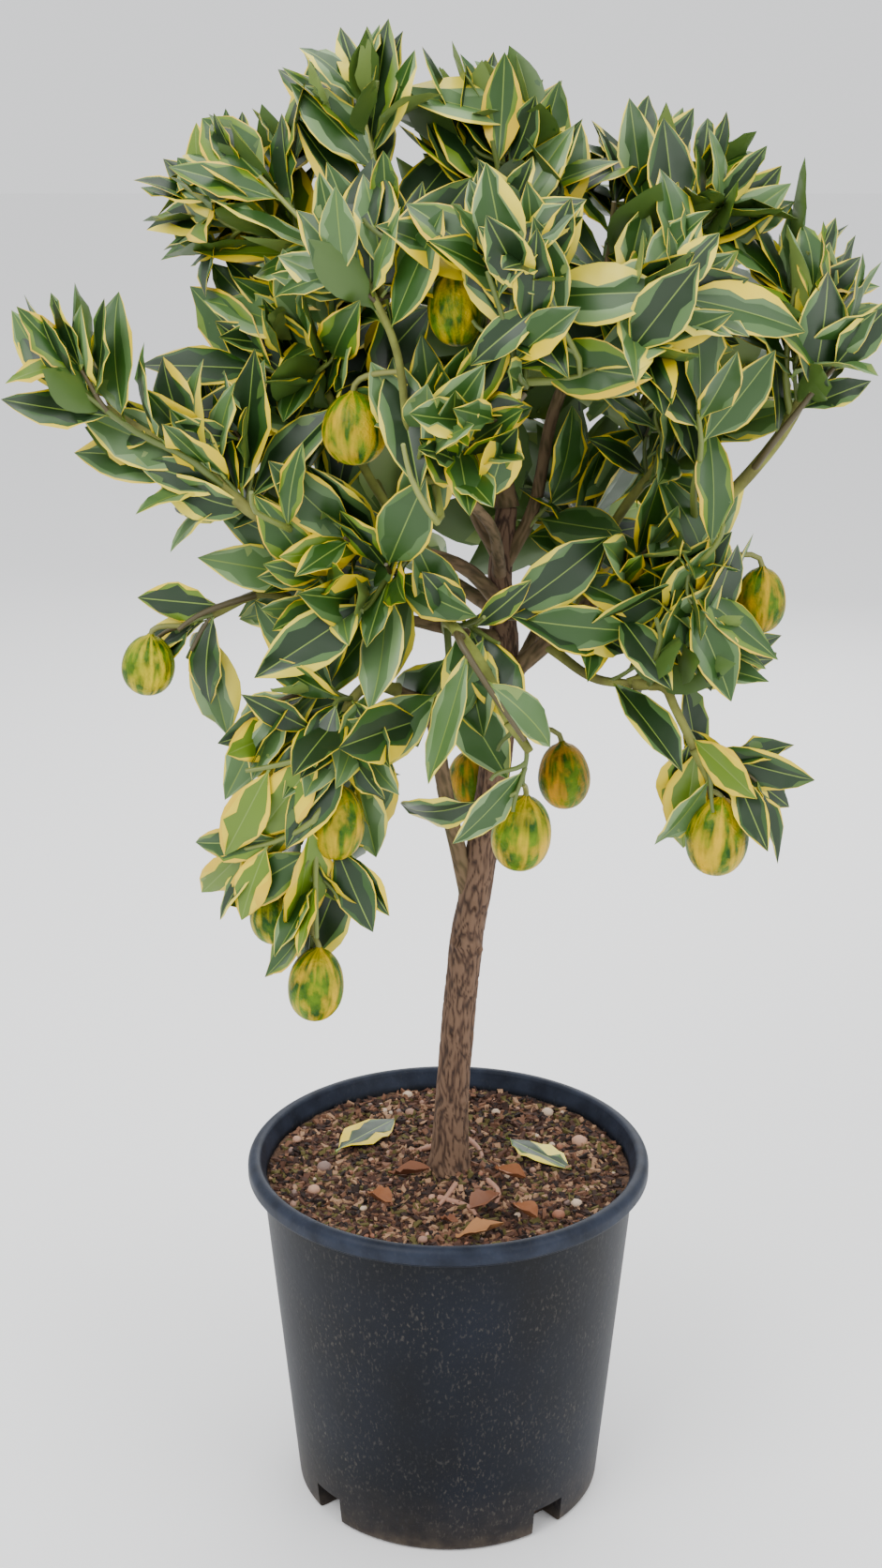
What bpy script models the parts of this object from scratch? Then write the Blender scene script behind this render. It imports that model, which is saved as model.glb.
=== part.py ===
"""Potted orangequat tree: a turned plastic pot, its soil, one leaning trunk, boughs and foliage masses.

All sizes are in metres, +Z up. The origin is the centre of the pot's flat underside.
-Y is the side that the pot's front shows, +X its right.
"""

import math
import random
from collections import namedtuple

import bmesh
import bpy
from mathutils import Vector, bvhtree

# Clearance between two solids that touch, and the distance within which a mesh's points are merged
GAP = 0.0003
MERGE_DISTANCE = 0.00001

# Pot, a cone with a rim that is rolled outward and down to a free lip
POT_HEIGHT = 0.2520
RIM_RADIUS = 0.140
RIM_HEIGHT = 0.0128
RIM_ROLL = 0.0050
RIM_LIP = 0.0010
RIM_THICKNESS = 0.0030
RIM_GROOVE = 0.0065
MOUTH_RADIUS = 0.1306
MOUTH_DEPTH = 0.0070
WALL_TOP_RADIUS = 0.1303
FOOT_RADIUS = 0.1080
FOOT_ROUNDING = 0.0035
WALL = 0.0025
FLOOR = 0.0030
POT_SEGMENTS = 48

# Drainage recesses, cut into the foot of the wall
RECESS_COUNT = 4
RECESS_FIRST_AZIMUTH = math.radians(-50.5)
RECESS_WIDTH = 0.0255
RECESS_HEIGHT = 0.0210
RECESS_DEPTH = 0.0180

# How far a cutter stands out past what it cuts
CUTTER_OVERRUN = 0.010

# Soil, filled to just under the rim
SOIL_TOP = 0.2370

# Limbs are smooth curves through a few points
TRUNK_BEVEL_RESOLUTION = 5
LIMB_BEVEL_RESOLUTION = 2
PIECES_PER_SPAN = 2
SMOOTH_ANGLE = math.radians(40)

# Foliage masses are uneven balls: each swells on a few sides, and every corner is a little in or out
MASS_SEGMENTS = 10
MASS_RINGS = 7
MASS_SWELLS = 5
MASS_SWELL = 0.13
MASS_UNEVEN = 0.10

# The trunk's centre line and its radius at each of these points. It is cut flat where it meets the soil
TRUNK_FOOT = SOIL_TOP + GAP
TRUNK_LINE = (
    (0.001, -0.002, TRUNK_FOOT - 0.008),
    (0.001, -0.002, TRUNK_FOOT + 0.014),
    (0.004, -0.002, 0.316),
    (0.012, -0.002, 0.408),
    (0.019, -0.002, 0.454),
    (0.032, 0.000, 0.545),
    (0.036, 0.000, 0.615),
    (0.033, 0.003, 0.660),
    (0.037, 0.008, 0.706),
)
TRUNK_RADII = (0.0170, 0.0130, 0.0112, 0.0113, 0.0108, 0.0103, 0.0096, 0.0080, 0.0066)

# A limb starts at a share of its carrier's length, or at a point inside a mass where none is named.
# It bends through its knees, tapers from thick to thin, and ends inside the mass that it carries.
Limb = namedtuple("Limb", "carrier start knees end thick thin")
LIMBS = {
    "bough_top": Limb("trunk", 1.0, [(0.031, 0.013, 0.770)], (0.026, 0.008, 0.885), 0.0062, 0.0040),
    "bough_low_left": Limb("trunk", 0.430, [(-0.001, -0.010, 0.512), (-0.012, -0.034, 0.580)],
                           (-0.032, -0.062, 0.604), 0.0062, 0.0035),
    "bough_right": Limb("trunk", 0.765, [(0.067, -0.020, 0.627), (0.087, -0.030, 0.650)],
                        (0.112, -0.036, 0.674), 0.0058, 0.0046),
    "bough_left_lower": Limb("trunk", 0.820, [(-0.006, -0.028, 0.636)],
                             (-0.034, -0.040, 0.646), 0.0046, 0.0035),
    "bough_left": Limb("trunk", 0.870, [(0.010, -0.018, 0.672)], (-0.020, -0.050, 0.690), 0.0050, 0.0042),
    "bough_front": Limb("trunk", 0.905, [(0.026, -0.045, 0.704)], (-0.002, -0.098, 0.742), 0.0042, 0.0030),
    "bough_upper_left": Limb("trunk", 0.930, [(0.015, 0.004, 0.708), (0.002, 0.004, 0.768)],
                             (-0.040, -0.020, 0.812), 0.0046, 0.0034),
    "bough_upper_right": Limb("trunk", 0.915, [(0.054, 0.004, 0.706), (0.066, 0.002, 0.768),
                                               (0.090, -0.004, 0.828)],
                              (0.106, 0.002, 0.892), 0.0046, 0.0032),
    "bough_back_left": Limb("trunk", 0.855, [(-0.004, 0.050, 0.652)], (-0.040, 0.100, 0.668), 0.0050, 0.0036),
    "bough_back_right": Limb("trunk", 0.720, [(0.058, 0.045, 0.612)], (0.086, 0.092, 0.640), 0.0052, 0.0036),
    "bough_back_top": Limb("bough_top", 0.40, [(0.030, 0.060, 0.782)], (0.028, 0.124, 0.780), 0.0042, 0.0034),
    "bough_front_top": Limb("bough_top", 0.62, [(0.033, -0.040, 0.826)],
                            (0.034, -0.092, 0.845), 0.0038, 0.0030),
    "limb_right_up": Limb("bough_right", 0.62, [(0.104, -0.018, 0.700)],
                          (0.132, -0.014, 0.738), 0.0036, 0.0030),
    "limb_right_low": Limb("bough_right", 0.36, [(0.090, -0.046, 0.608)],
                           (0.116, -0.056, 0.606), 0.0032, 0.0028),
    "limb_front_hanging": Limb("bough_left_lower", 0.55, [(0.000, -0.080, 0.652), (0.018, -0.112, 0.636)],
                               (0.036, -0.130, 0.604), 0.0036, 0.0034),
    "limb_right_long": Limb(None, (0.142, -0.046, 0.700), [(0.170, -0.050, 0.723), (0.198, -0.055, 0.758)],
                            (0.214, -0.058, 0.788), 0.0042, 0.0036),
    "limb_left_long": Limb(None, (-0.160, -0.088, 0.760), [(-0.181, -0.090, 0.770)],
                           (-0.203, -0.090, 0.784), 0.0035, 0.0030),
    "limb_left_fruit": Limb(None, (-0.092, -0.056, 0.662), [(-0.118, -0.060, 0.665)],
                            (-0.146, -0.060, 0.652), 0.0030, 0.0026),
    "limb_right_hanging": Limb(None, (0.134, -0.063, 0.606), [(0.141, -0.066, 0.594)],
                               (0.154, -0.070, 0.568), 0.0030, 0.0030),
    "limb_left_hanging": Limb(None, (-0.078, -0.096, 0.560), [(-0.082, -0.099, 0.535)],
                              (-0.085, -0.100, 0.508), 0.0030, 0.0028),
}

# Foliage: the centre and the half sizes of each mass
Mass = namedtuple("Mass", "centre half")
MASSES = {
    "foliage_top_spray": Mass((-0.053, -0.020, 0.955), (0.049, 0.046, 0.052)),
    "foliage_top_middle": Mass((0.028, 0.000, 0.925), (0.060, 0.070, 0.058)),
    "foliage_top_right": Mass((0.118, 0.020, 0.905), (0.052, 0.070, 0.050)),
    "foliage_upper_left": Mass((-0.124, 0.000, 0.895), (0.076, 0.060, 0.056)),
    "foliage_front_upper_left": Mass((-0.051, -0.100, 0.870), (0.052, 0.052, 0.058)),
    "foliage_right_shoulder": Mass((0.160, -0.035, 0.893), (0.040, 0.052, 0.052)),
    "foliage_front_middle": Mass((0.034, -0.130, 0.862), (0.055, 0.050, 0.060)),
    "foliage_front_right": Mass((0.121, -0.110, 0.840), (0.056, 0.052, 0.062)),
    "foliage_far_right": Mass((0.216, -0.050, 0.833), (0.043, 0.048, 0.082)),
    "foliage_right_middle": Mass((0.148, -0.010, 0.762), (0.066, 0.062, 0.050)),
    "foliage_left_tip": Mass((-0.218, -0.090, 0.809), (0.050, 0.036, 0.042)),
    "foliage_left_middle": Mass((-0.132, -0.080, 0.748), (0.058, 0.050, 0.054)),
    "foliage_left_fruit": Mass((-0.166, -0.060, 0.634), (0.040, 0.038, 0.038)),
    "foliage_middle_left": Mass((-0.080, -0.040, 0.802), (0.060, 0.060, 0.054)),
    "foliage_low_left": Mass((-0.058, -0.070, 0.682), (0.070, 0.054, 0.056)),
    "foliage_front_centre": Mass((0.000, -0.120, 0.772), (0.054, 0.052, 0.056)),
    "foliage_front_fork": Mass((0.026, -0.088, 0.655), (0.034, 0.030, 0.028)),
    "foliage_hanging_left_upper": Mass((-0.070, -0.090, 0.588), (0.082, 0.052, 0.058)),
    "foliage_hanging_left_lower": Mass((-0.092, -0.100, 0.486), (0.074, 0.046, 0.062)),
    "foliage_hanging_left_fruit": Mass((-0.083, -0.100, 0.424), (0.028, 0.028, 0.032)),
    "foliage_low_centre": Mass((0.086, 0.010, 0.694), (0.048, 0.048, 0.046)),
    "foliage_low_right": Mass((0.136, -0.050, 0.648), (0.074, 0.054, 0.090)),
    "foliage_hanging_right": Mass((0.173, -0.070, 0.536), (0.052, 0.038, 0.056)),
    "foliage_hanging_front": Mass((0.034, -0.130, 0.566), (0.050, 0.034, 0.062)),
    "foliage_back_top": Mass((0.025, 0.105, 0.890), (0.074, 0.054, 0.064)),
    "foliage_back_left": Mass((-0.078, 0.105, 0.808), (0.072, 0.064, 0.074)),
    "foliage_back_right": Mass((0.146, 0.110, 0.795), (0.076, 0.064, 0.078)),
    "foliage_back_low_left": Mass((-0.050, 0.120, 0.676), (0.072, 0.060, 0.062)),
    "foliage_back_low_right": Mass((0.098, 0.120, 0.668), (0.074, 0.060, 0.062)),
    "foliage_back_middle": Mass((0.030, 0.158, 0.775), (0.070, 0.060, 0.068)),
}


def clear_scene():
    """Remove what the scene holds, and make one collection for the parts and one for the cutters."""
    for ob in list(bpy.data.objects):
        bpy.data.objects.remove(ob, do_unlink=True)
    for name in ("potted_orangequat", "cutters"):
        collection = bpy.data.collections.new(name)
        bpy.context.scene.collection.children.link(collection)


def make_material(name, colour, roughness):
    material = bpy.data.materials.new(name)
    material.use_nodes = True
    shader = material.node_tree.nodes["Principled BSDF"]
    shader.inputs["Base Color"].default_value = (*colour, 1.0)
    shader.inputs["Roughness"].default_value = roughness
    return material


def add_object(name, mesh, collection, material=None):
    ob = bpy.data.objects.new(name, mesh)
    bpy.data.collections[collection].objects.link(ob)
    if material:
        ob.data.materials.append(material)
    if collection == "cutters":
        ob.hide_render = True
        ob.display_type = "WIRE"
    return ob


def cut(ob, cutter):
    """Take a cutter's shape out of an object."""
    boolean = ob.modifiers.new("cut_" + cutter.name, "BOOLEAN")
    boolean.operation = "DIFFERENCE"
    boolean.solver = "EXACT"
    boolean.object = cutter


def turned(name, profile, collection, material=None):
    """Turn a profile of (radius, height) round the Z axis.

    It starts on the axis, runs down the outside and ends on the axis.
    """
    mesh = bpy.data.meshes.new(name)
    points = [(radius, 0.0, height) for radius, height in profile]
    mesh.from_pydata(points, [(i, i + 1) for i in range(len(points) - 1)], [])
    ob = add_object(name, mesh, collection, material)
    screw = ob.modifiers.new("turn", "SCREW")
    screw.steps = screw.render_steps = POT_SEGMENTS
    screw.use_merge_vertices = True
    screw.merge_threshold = MERGE_DISTANCE
    screw.use_smooth_shade = True
    return ob


def wall_radius(height):
    """Outer radius of the pot's wall at a height."""
    return FOOT_RADIUS + (WALL_TOP_RADIUS - FOOT_RADIUS) * height / (POT_HEIGHT - RIM_HEIGHT)


def block_cutter(name, low, high):
    """A block between two opposite corners."""
    bm = bmesh.new()
    bmesh.ops.create_cube(bm, size=1.0)
    bmesh.ops.scale(bm, vec=high - low, verts=bm.verts)
    bmesh.ops.translate(bm, vec=(low + high) / 2, verts=bm.verts)
    mesh = bpy.data.meshes.new(name)
    bm.to_mesh(mesh)
    bm.free()
    return add_object(name, mesh, "cutters")


def recess_cutter(name, index, growth):
    """A block at one drainage recess, made larger by growth on the sides that the pot's wall lines."""
    half_width = RECESS_WIDTH / 2 + growth
    outer_face = -WALL_TOP_RADIUS - CUTTER_OVERRUN
    inner_face = RECESS_DEPTH + growth - FOOT_RADIUS
    low = Vector((-half_width, outer_face, -CUTTER_OVERRUN))
    high = Vector((half_width, inner_face, RECESS_HEIGHT + growth))
    block = block_cutter(name, low, high)
    block.rotation_euler.z = RECESS_FIRST_AZIMUTH + index * math.tau / RECESS_COUNT
    return block


def round_edge(radius, height, size, steps=3):
    """Points of a quarter round about (radius, height), from its top to its outer side."""
    angles = [math.pi / 2 * (1 - step / steps) for step in range(steps + 1)]
    return [(radius + size * math.cos(angle), height + size * math.sin(angle)) for angle in angles]


def build_pot(material):
    """The outer cone with its rolled rim, less the recesses, less the hollow that holds the soil."""
    skirt_inside = RIM_RADIUS - RIM_THICKNESS
    rim_foot = POT_HEIGHT - RIM_HEIGHT
    outside = [
        (0.0, POT_HEIGHT),
        *round_edge(RIM_RADIUS - RIM_ROLL, POT_HEIGHT - RIM_ROLL, RIM_ROLL),
        (RIM_RADIUS, rim_foot + RIM_LIP),
        (RIM_RADIUS - RIM_LIP, rim_foot),
        (skirt_inside, rim_foot),
        (skirt_inside, rim_foot + RIM_GROOVE),
        (WALL_TOP_RADIUS + RIM_LIP, rim_foot + RIM_GROOVE),
        (WALL_TOP_RADIUS, rim_foot),
        (wall_radius(FOOT_ROUNDING), FOOT_ROUNDING),
        (FOOT_RADIUS - FOOT_ROUNDING, 0.0),
        (0.0, 0.0),
    ]
    hollow = [
        (0.0, POT_HEIGHT + CUTTER_OVERRUN),
        (MOUTH_RADIUS + RIM_LIP, POT_HEIGHT + CUTTER_OVERRUN),
        (MOUTH_RADIUS + RIM_LIP, POT_HEIGHT),
        (MOUTH_RADIUS, POT_HEIGHT - RIM_LIP),
        (WALL_TOP_RADIUS - WALL, POT_HEIGHT - MOUTH_DEPTH),
        (wall_radius(FLOOR) - WALL, FLOOR),
        (0.0, FLOOR),
    ]
    pot = turned("pot", outside, "potted_orangequat", material)
    hollow_cutter = turned("hollow", hollow, "cutters")
    for index in range(RECESS_COUNT):
        cut(hollow_cutter, recess_cutter(f"recess_lining_{index}", index, WALL))
        cut(pot, recess_cutter(f"recess_{index}", index, 0.0))
    cut(pot, hollow_cutter)


def build_soil(material):
    """One plug of soil that fills the pot, clear of its wall, floor and recesses by the gap."""
    foot = FLOOR + GAP
    profile = [
        (0.0, SOIL_TOP),
        (wall_radius(SOIL_TOP) - WALL - 2 * GAP, SOIL_TOP),
        (wall_radius(foot) - WALL - 2 * GAP, foot),
        (0.0, foot),
    ]
    soil = turned("soil", profile, "potted_orangequat", material)
    for index in range(RECESS_COUNT):
        cut(soil, recess_cutter(f"recess_soil_{index}", index, WALL + GAP))


def smooth_line(knots):
    """Points on a smooth curve through the knots, a few for each span."""
    ends = [knots[0] * 2 - knots[1], *knots, knots[-1] * 2 - knots[-2]]
    line = []
    for before, start, end, after in zip(ends, ends[1:], ends[2:], ends[3:]):
        for step in range(PIECES_PER_SPAN):
            t = step / PIECES_PER_SPAN
            line.append(0.5 * (
                2 * start
                + (end - before) * t
                + (2 * before - 5 * start + 4 * end - after) * t ** 2
                + (3 * start - before - 3 * end + after) * t ** 3
            ))
    line.append(knots[-1])
    return line


def spread_radii(radii):
    """Radii for the same curve, evenly spaced between those of its knots."""
    spread = []
    for start, end in zip(radii, radii[1:]):
        spread += [start + (end - start) * step / PIECES_PER_SPAN for step in range(PIECES_PER_SPAN)]
    return spread + [radii[-1]]


def limb_mesh(name, line, radii, bevel_resolution):
    """A tapering round limb along a line, as a closed mesh with flat ends."""
    curve = bpy.data.curves.new(name, "CURVE")
    curve.dimensions = "3D"
    curve.bevel_depth = 1.0
    curve.bevel_resolution = bevel_resolution
    curve.use_fill_caps = True
    spline = curve.splines.new("POLY")
    spline.points.add(len(line) - 1)
    for point, place, radius in zip(spline.points, line, radii):
        point.co = (*place, 1.0)
        point.radius = radius
    guide = bpy.data.objects.new(name + "_curve", curve)
    bpy.context.scene.collection.objects.link(guide)
    evaluated = guide.evaluated_get(bpy.context.evaluated_depsgraph_get())
    mesh = bpy.data.meshes.new_from_object(evaluated)
    bpy.data.objects.remove(guide, do_unlink=True)
    bm = bmesh.new()
    bm.from_mesh(mesh)
    bmesh.ops.remove_doubles(bm, verts=bm.verts, dist=MERGE_DISTANCE)
    bmesh.ops.recalc_face_normals(bm, faces=bm.faces)
    bm.to_mesh(mesh)
    bm.free()
    mesh.materials.clear()
    mesh.shade_smooth()
    mesh.set_sharp_from_angle(angle=SMOOTH_ANGLE)
    return mesh


def grown_limb(name, line, radii, bevel_resolution):
    """A cutter one gap larger than a limb all round and at both ends."""
    start = line[0] + (line[0] - line[1]).normalized() * GAP
    end = line[-1] + (line[-1] - line[-2]).normalized() * GAP
    longer = [start, *line[1:-1], end]
    mesh = limb_mesh(name + "_socket", longer, [radius + GAP for radius in radii], bevel_resolution)
    return add_object(name + "_socket", mesh, "cutters")


def point_along(line, share):
    """The point at a share of a line's length."""
    lengths = [(b - a).length for a, b in zip(line, line[1:])]
    left = share * sum(lengths)
    for start, end, length in zip(line, line[1:], lengths):
        if left <= length:
            return start.lerp(end, left / length)
        left -= length
    return line[-1].copy()


def build_limbs(bark):
    """The trunk and every limb. Each is cut back to one gap off the limb that carries it."""
    lines = {"trunk": smooth_line([Vector(point) for point in TRUNK_LINE])}
    radii = {"trunk": spread_radii(TRUNK_RADII)}
    sockets = {}
    trunk_mesh = limb_mesh("trunk", lines["trunk"], radii["trunk"], TRUNK_BEVEL_RESOLUTION)
    trunk = add_object("trunk", trunk_mesh, "potted_orangequat", bark)
    reach = TRUNK_RADII[0] + CUTTER_OVERRUN
    cut(trunk, block_cutter("ground", Vector((-reach, -reach, 0.0)), Vector((reach, reach, TRUNK_FOOT))))
    sockets["trunk"] = grown_limb("trunk", lines["trunk"], radii["trunk"], TRUNK_BEVEL_RESOLUTION)
    for name, limb in LIMBS.items():
        start = point_along(lines[limb.carrier], limb.start) if limb.carrier else Vector(limb.start)
        knots = [start, *[Vector(knee) for knee in limb.knees], Vector(limb.end)]
        taper = (limb.thin - limb.thick) / (len(knots) - 1)
        lines[name] = smooth_line(knots)
        radii[name] = spread_radii([limb.thick + taper * index for index in range(len(knots))])
        mesh = limb_mesh(name, lines[name], radii[name], LIMB_BEVEL_RESOLUTION)
        ob = add_object(name, mesh, "potted_orangequat", bark)
        if limb.carrier:
            cut(ob, sockets[limb.carrier])
        sockets[name] = grown_limb(name, lines[name], radii[name], LIMB_BEVEL_RESOLUTION)
    return sockets


def ball_reach(half, direction):
    """Distance from an ellipsoid's centre to its surface along a direction."""
    return 1.0 / math.sqrt(sum((part / size) ** 2 for part, size in zip(direction, half)))


def fences(name):
    """Planes between a mass and each other one, as (normal, distance from the mass's centre)."""
    centre = Vector(MASSES[name].centre)
    planes = []
    for other, mass in MASSES.items():
        if other == name:
            continue
        apart = Vector(mass.centre) - centre
        normal = apart.normalized()
        own = ball_reach(MASSES[name].half, normal)
        theirs = ball_reach(mass.half, normal)
        planes.append((normal, apart.length * own / (own + theirs) - GAP))
    return planes


def build_mass(name, seed, material):
    """An uneven ball of its own shape, flattened where it meets its neighbours."""
    mass = MASSES[name]
    shape = random.Random(seed)
    swells = [Vector([shape.gauss(0, 1) for _ in range(3)]).normalized() for _ in range(MASS_SWELLS)]
    planes = fences(name)
    bm = bmesh.new()
    bmesh.ops.create_uvsphere(bm, u_segments=MASS_SEGMENTS, v_segments=MASS_RINGS, radius=1.0)
    for vert in bm.verts:
        direction = vert.co.normalized()
        swell = max(direction.dot(way) for way in swells)
        reach = ball_reach(mass.half, direction)
        reach *= 1.0 + MASS_SWELL * (swell - 0.5) + shape.uniform(-MASS_UNEVEN, MASS_UNEVEN)
        for normal, distance in planes:
            slope = direction.dot(normal)
            if slope > 0:
                reach = min(reach, distance / slope)
        vert.co = Vector(mass.centre) + direction * reach
    bmesh.ops.triangulate(bm, faces=bm.faces)
    mesh = bpy.data.meshes.new(name)
    bm.to_mesh(mesh)
    bm.free()
    return add_object(name, mesh, "potted_orangequat", material)


def surface_tree(ob):
    bm = bmesh.new()
    bm.from_mesh(ob.data)
    tree = bvhtree.BVHTree.FromBMesh(bm)
    bm.free()
    return tree


def build_foliage(material, sockets):
    """Every mass, with a socket for each limb that reaches into it."""
    trees = {name: surface_tree(socket) for name, socket in sockets.items()}
    for seed, name in enumerate(MASSES):
        ob = build_mass(name, seed, material)
        tree = surface_tree(ob)
        for limb, socket in sockets.items():
            if tree.overlap(trees[limb]):
                cut(ob, socket)


def main():
    clear_scene()
    plastic = make_material("pot_plastic", (0.030, 0.038, 0.055), 0.55)
    compost = make_material("soil", (0.105, 0.062, 0.040), 0.95)
    bark = make_material("bark", (0.200, 0.120, 0.080), 0.85)
    leaves = make_material("foliage", (0.090, 0.160, 0.060), 0.60)
    build_pot(plastic)
    build_soil(compost)
    sockets = build_limbs(bark)
    build_foliage(leaves, sockets)


main()
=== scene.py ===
# %% [markdown]
# # A potted orangequat tree
# A young citrus tree with variegated leaves, one metre tall, in a 12 litre nursery pot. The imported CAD
# model gives the frame: the pot, the soil, the trunk with its boughs, and the space that each mass of
# leaves fills. This script puts the looks round that frame. Lengths are in metres, +Z is up, and -Y
# points towards the camera.

# %% Load the frame
import math
import random

import bmesh
import bpy
import numpy as np
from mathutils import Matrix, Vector, noise


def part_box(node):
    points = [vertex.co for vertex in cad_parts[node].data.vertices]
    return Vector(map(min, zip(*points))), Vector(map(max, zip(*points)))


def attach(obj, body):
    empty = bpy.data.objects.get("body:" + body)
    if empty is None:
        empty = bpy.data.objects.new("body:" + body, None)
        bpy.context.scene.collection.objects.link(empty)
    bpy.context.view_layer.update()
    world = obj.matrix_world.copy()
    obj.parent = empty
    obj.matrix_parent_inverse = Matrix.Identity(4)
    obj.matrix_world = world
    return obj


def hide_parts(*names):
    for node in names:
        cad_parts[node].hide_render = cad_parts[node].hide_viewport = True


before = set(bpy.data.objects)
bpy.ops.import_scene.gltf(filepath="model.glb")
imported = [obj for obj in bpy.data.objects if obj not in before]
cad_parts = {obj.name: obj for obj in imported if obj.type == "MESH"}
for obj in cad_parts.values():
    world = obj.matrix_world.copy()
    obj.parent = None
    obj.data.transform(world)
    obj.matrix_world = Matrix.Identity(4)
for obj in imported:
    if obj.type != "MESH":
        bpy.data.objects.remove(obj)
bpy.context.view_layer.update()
scene = bpy.context.scene

# %% [markdown]
# ## Camera
# The photograph looks down on the tree by about 18 degrees. The ellipses of the pot's rim and foot give
# the camera's height, distance and focal length. With that camera, a pixel of the photograph can be turned
# into a point of the tree as soon as its depth is known, which places the shoots and fruit that a viewer
# would look for.

# %% Camera
PHOTO_WIDTH = 941
PHOTO_HEIGHT = 1672
FOCAL_PIXELS = 2421.6
SENSOR_MM = 36.0
CAMERA_PLACE = Vector((-0.0051, -1.4296, 0.9932))
CAMERA_TILT = math.radians(18.257)
VIEW_AHEAD = Vector((0.0, math.cos(CAMERA_TILT), -math.sin(CAMERA_TILT)))
VIEW_RIGHT = Vector((1.0, 0.0, 0.0))
VIEW_UP = Vector((0.0, math.sin(CAMERA_TILT), math.cos(CAMERA_TILT)))


def seen_at(column, row, depth):
    """The point that the photograph shows at a pixel, on the upright plane y = depth."""
    ray = VIEW_AHEAD + VIEW_RIGHT * (column - PHOTO_WIDTH / 2) / FOCAL_PIXELS
    ray += VIEW_UP * (PHOTO_HEIGHT / 2 - row) / FOCAL_PIXELS
    return CAMERA_PLACE + ray * ((depth - CAMERA_PLACE.y) / ray.y)


def add_object(name, data):
    """An object of the scene that holds some data, such as a mesh or a lamp."""
    ob = bpy.data.objects.new(name, data)
    scene.collection.objects.link(ob)
    return ob


camera_data = bpy.data.cameras.new("camera")
camera_data.sensor_fit = "VERTICAL"
camera_data.sensor_height = SENSOR_MM
camera_data.lens = FOCAL_PIXELS * SENSOR_MM / PHOTO_HEIGHT
camera = add_object("camera", camera_data)
camera.location = CAMERA_PLACE
camera.rotation_euler = (math.pi / 2 - CAMERA_TILT, 0.0, 0.0)
scene.camera = camera
print("lens", round(camera_data.lens, 2), "mm")

# %% [markdown]
# ## Plain finishes
# Most finishes here have one colour and one roughness. Colours are written as a paint program shows them,
# from 0 to 255, and turned into the linear values that shaders take.

# %% Plain finishes


def linear(red, green, blue):
    """A colour from 0 to 255 in the linear values that shaders take."""
    return tuple((part / 255) ** 2.2 for part in (red, green, blue))


def shader_of(material):
    return material.node_tree.nodes["Principled BSDF"]


def plain(name, colour, roughness, specular=0.5):
    """A finish with one colour and one roughness."""
    material = bpy.data.materials.new(name)
    material.use_nodes = True
    inputs = shader_of(material).inputs
    inputs["Base Color"].default_value = (*colour, 1.0)
    inputs["Roughness"].default_value = roughness
    inputs["Specular IOR Level"].default_value = specular
    return material


def tinted(name, tints, roughness):
    """One plain finish for each tint, for small things that differ from copy to copy."""
    return [plain(f"{name}_{number}", linear(*tint), roughness) for number, tint in enumerate(tints)]


print("colour 128 is", round(linear(128, 128, 128)[0], 3), "in linear values")

# %% [markdown]
# ## Light and floor
# The photograph has soft, even light from above, as under a bright sky, and a plain white ground. The
# strongest of four wide lamps stands above and to the left, and gives the leaves their sheen. The others
# fill the right, the top and the back, and a bright world lights the shade inside the foliage. A pale
# floor catches a soft shadow.

# %% Light and floor
LAMP_SIZE = 1.6
LAMP_TARGET = Vector((0.0, 0.0, 0.55))
LAMPS = {
    "key": ((-1.3, -1.6, 2.4), 52.0), "fill": ((1.8, -1.4, 1.6), 26.0),
    "top": ((0.2, 0.4, 2.6), 26.0), "behind": ((0.4, 2.2, 1.4), 20.0),
}
WORLD_COLOUR = (0.97, 0.98, 1.0, 1.0)
WORLD_STRENGTH = 1.2
FLOOR_SIZE = 14.0
FLOOR_BELOW = 0.0005

for name, (place, power) in LAMPS.items():
    lamp = bpy.data.lights.new(name, "AREA")
    lamp.size = LAMP_SIZE
    lamp.energy = power
    ob = add_object(name, lamp)
    ob.location = place
    ob.rotation_euler = (LAMP_TARGET - Vector(place)).to_track_quat("-Z", "Y").to_euler()

world = bpy.data.worlds.new("studio")
world.use_nodes = True
world.node_tree.nodes["Background"].inputs["Color"].default_value = WORLD_COLOUR
world.node_tree.nodes["Background"].inputs["Strength"].default_value = WORLD_STRENGTH
scene.world = world


def mesh_from(name, bm):
    """A mesh with the form of a bmesh, which is freed."""
    mesh = bpy.data.meshes.new(name)
    bm.to_mesh(mesh)
    bm.free()
    return mesh


floor_form = bmesh.new()
bmesh.ops.create_grid(floor_form, x_segments=1, y_segments=1, size=FLOOR_SIZE)
floor_mesh = mesh_from("floor", floor_form)
floor_mesh.materials.append(plain("pale_floor", (0.93, 0.93, 0.93), 0.9))
floor = add_object("floor", floor_mesh)
floor.location.z = -FLOOR_BELOW
print(len(LAMPS), "lamps and a floor")

# %% [markdown]
# ## Patterned finishes
# Plastic, compost, bark and peel have patterns. Each is a short chain of nodes: noise on the piece's own
# coordinates, drawn out where the real surface is streaked, then a ramp from one colour to the next, or
# from black to white where it mixes two others. Noise has no seam and needs no picture.

# %% Helpers for patterned finishes


def add_node(material, kind, values=None, **settings):
    """A node with some of its inputs and its settings filled in."""
    node = material.node_tree.nodes.new(kind)
    for key, value in settings.items():
        setattr(node, key, value)
    for key, value in (values or {}).items():
        node.inputs[key].default_value = value
    return node


def streaks(material, scale, stretch=(1.0, 1.0, 1.0), detail=6.0, coordinates="Object"):
    """Noise on the piece's own coordinates, drawn out where stretch is small."""
    links = material.node_tree.links
    places = add_node(material, "ShaderNodeTexCoord")
    mapping = add_node(material, "ShaderNodeMapping", {"Scale": stretch})
    pattern = add_node(material, "ShaderNodeTexNoise", {"Scale": scale, "Detail": detail})
    links.new(places.outputs[coordinates], mapping.inputs["Vector"])
    links.new(mapping.outputs["Vector"], pattern.inputs["Vector"])
    return pattern.outputs["Fac"]


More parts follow.
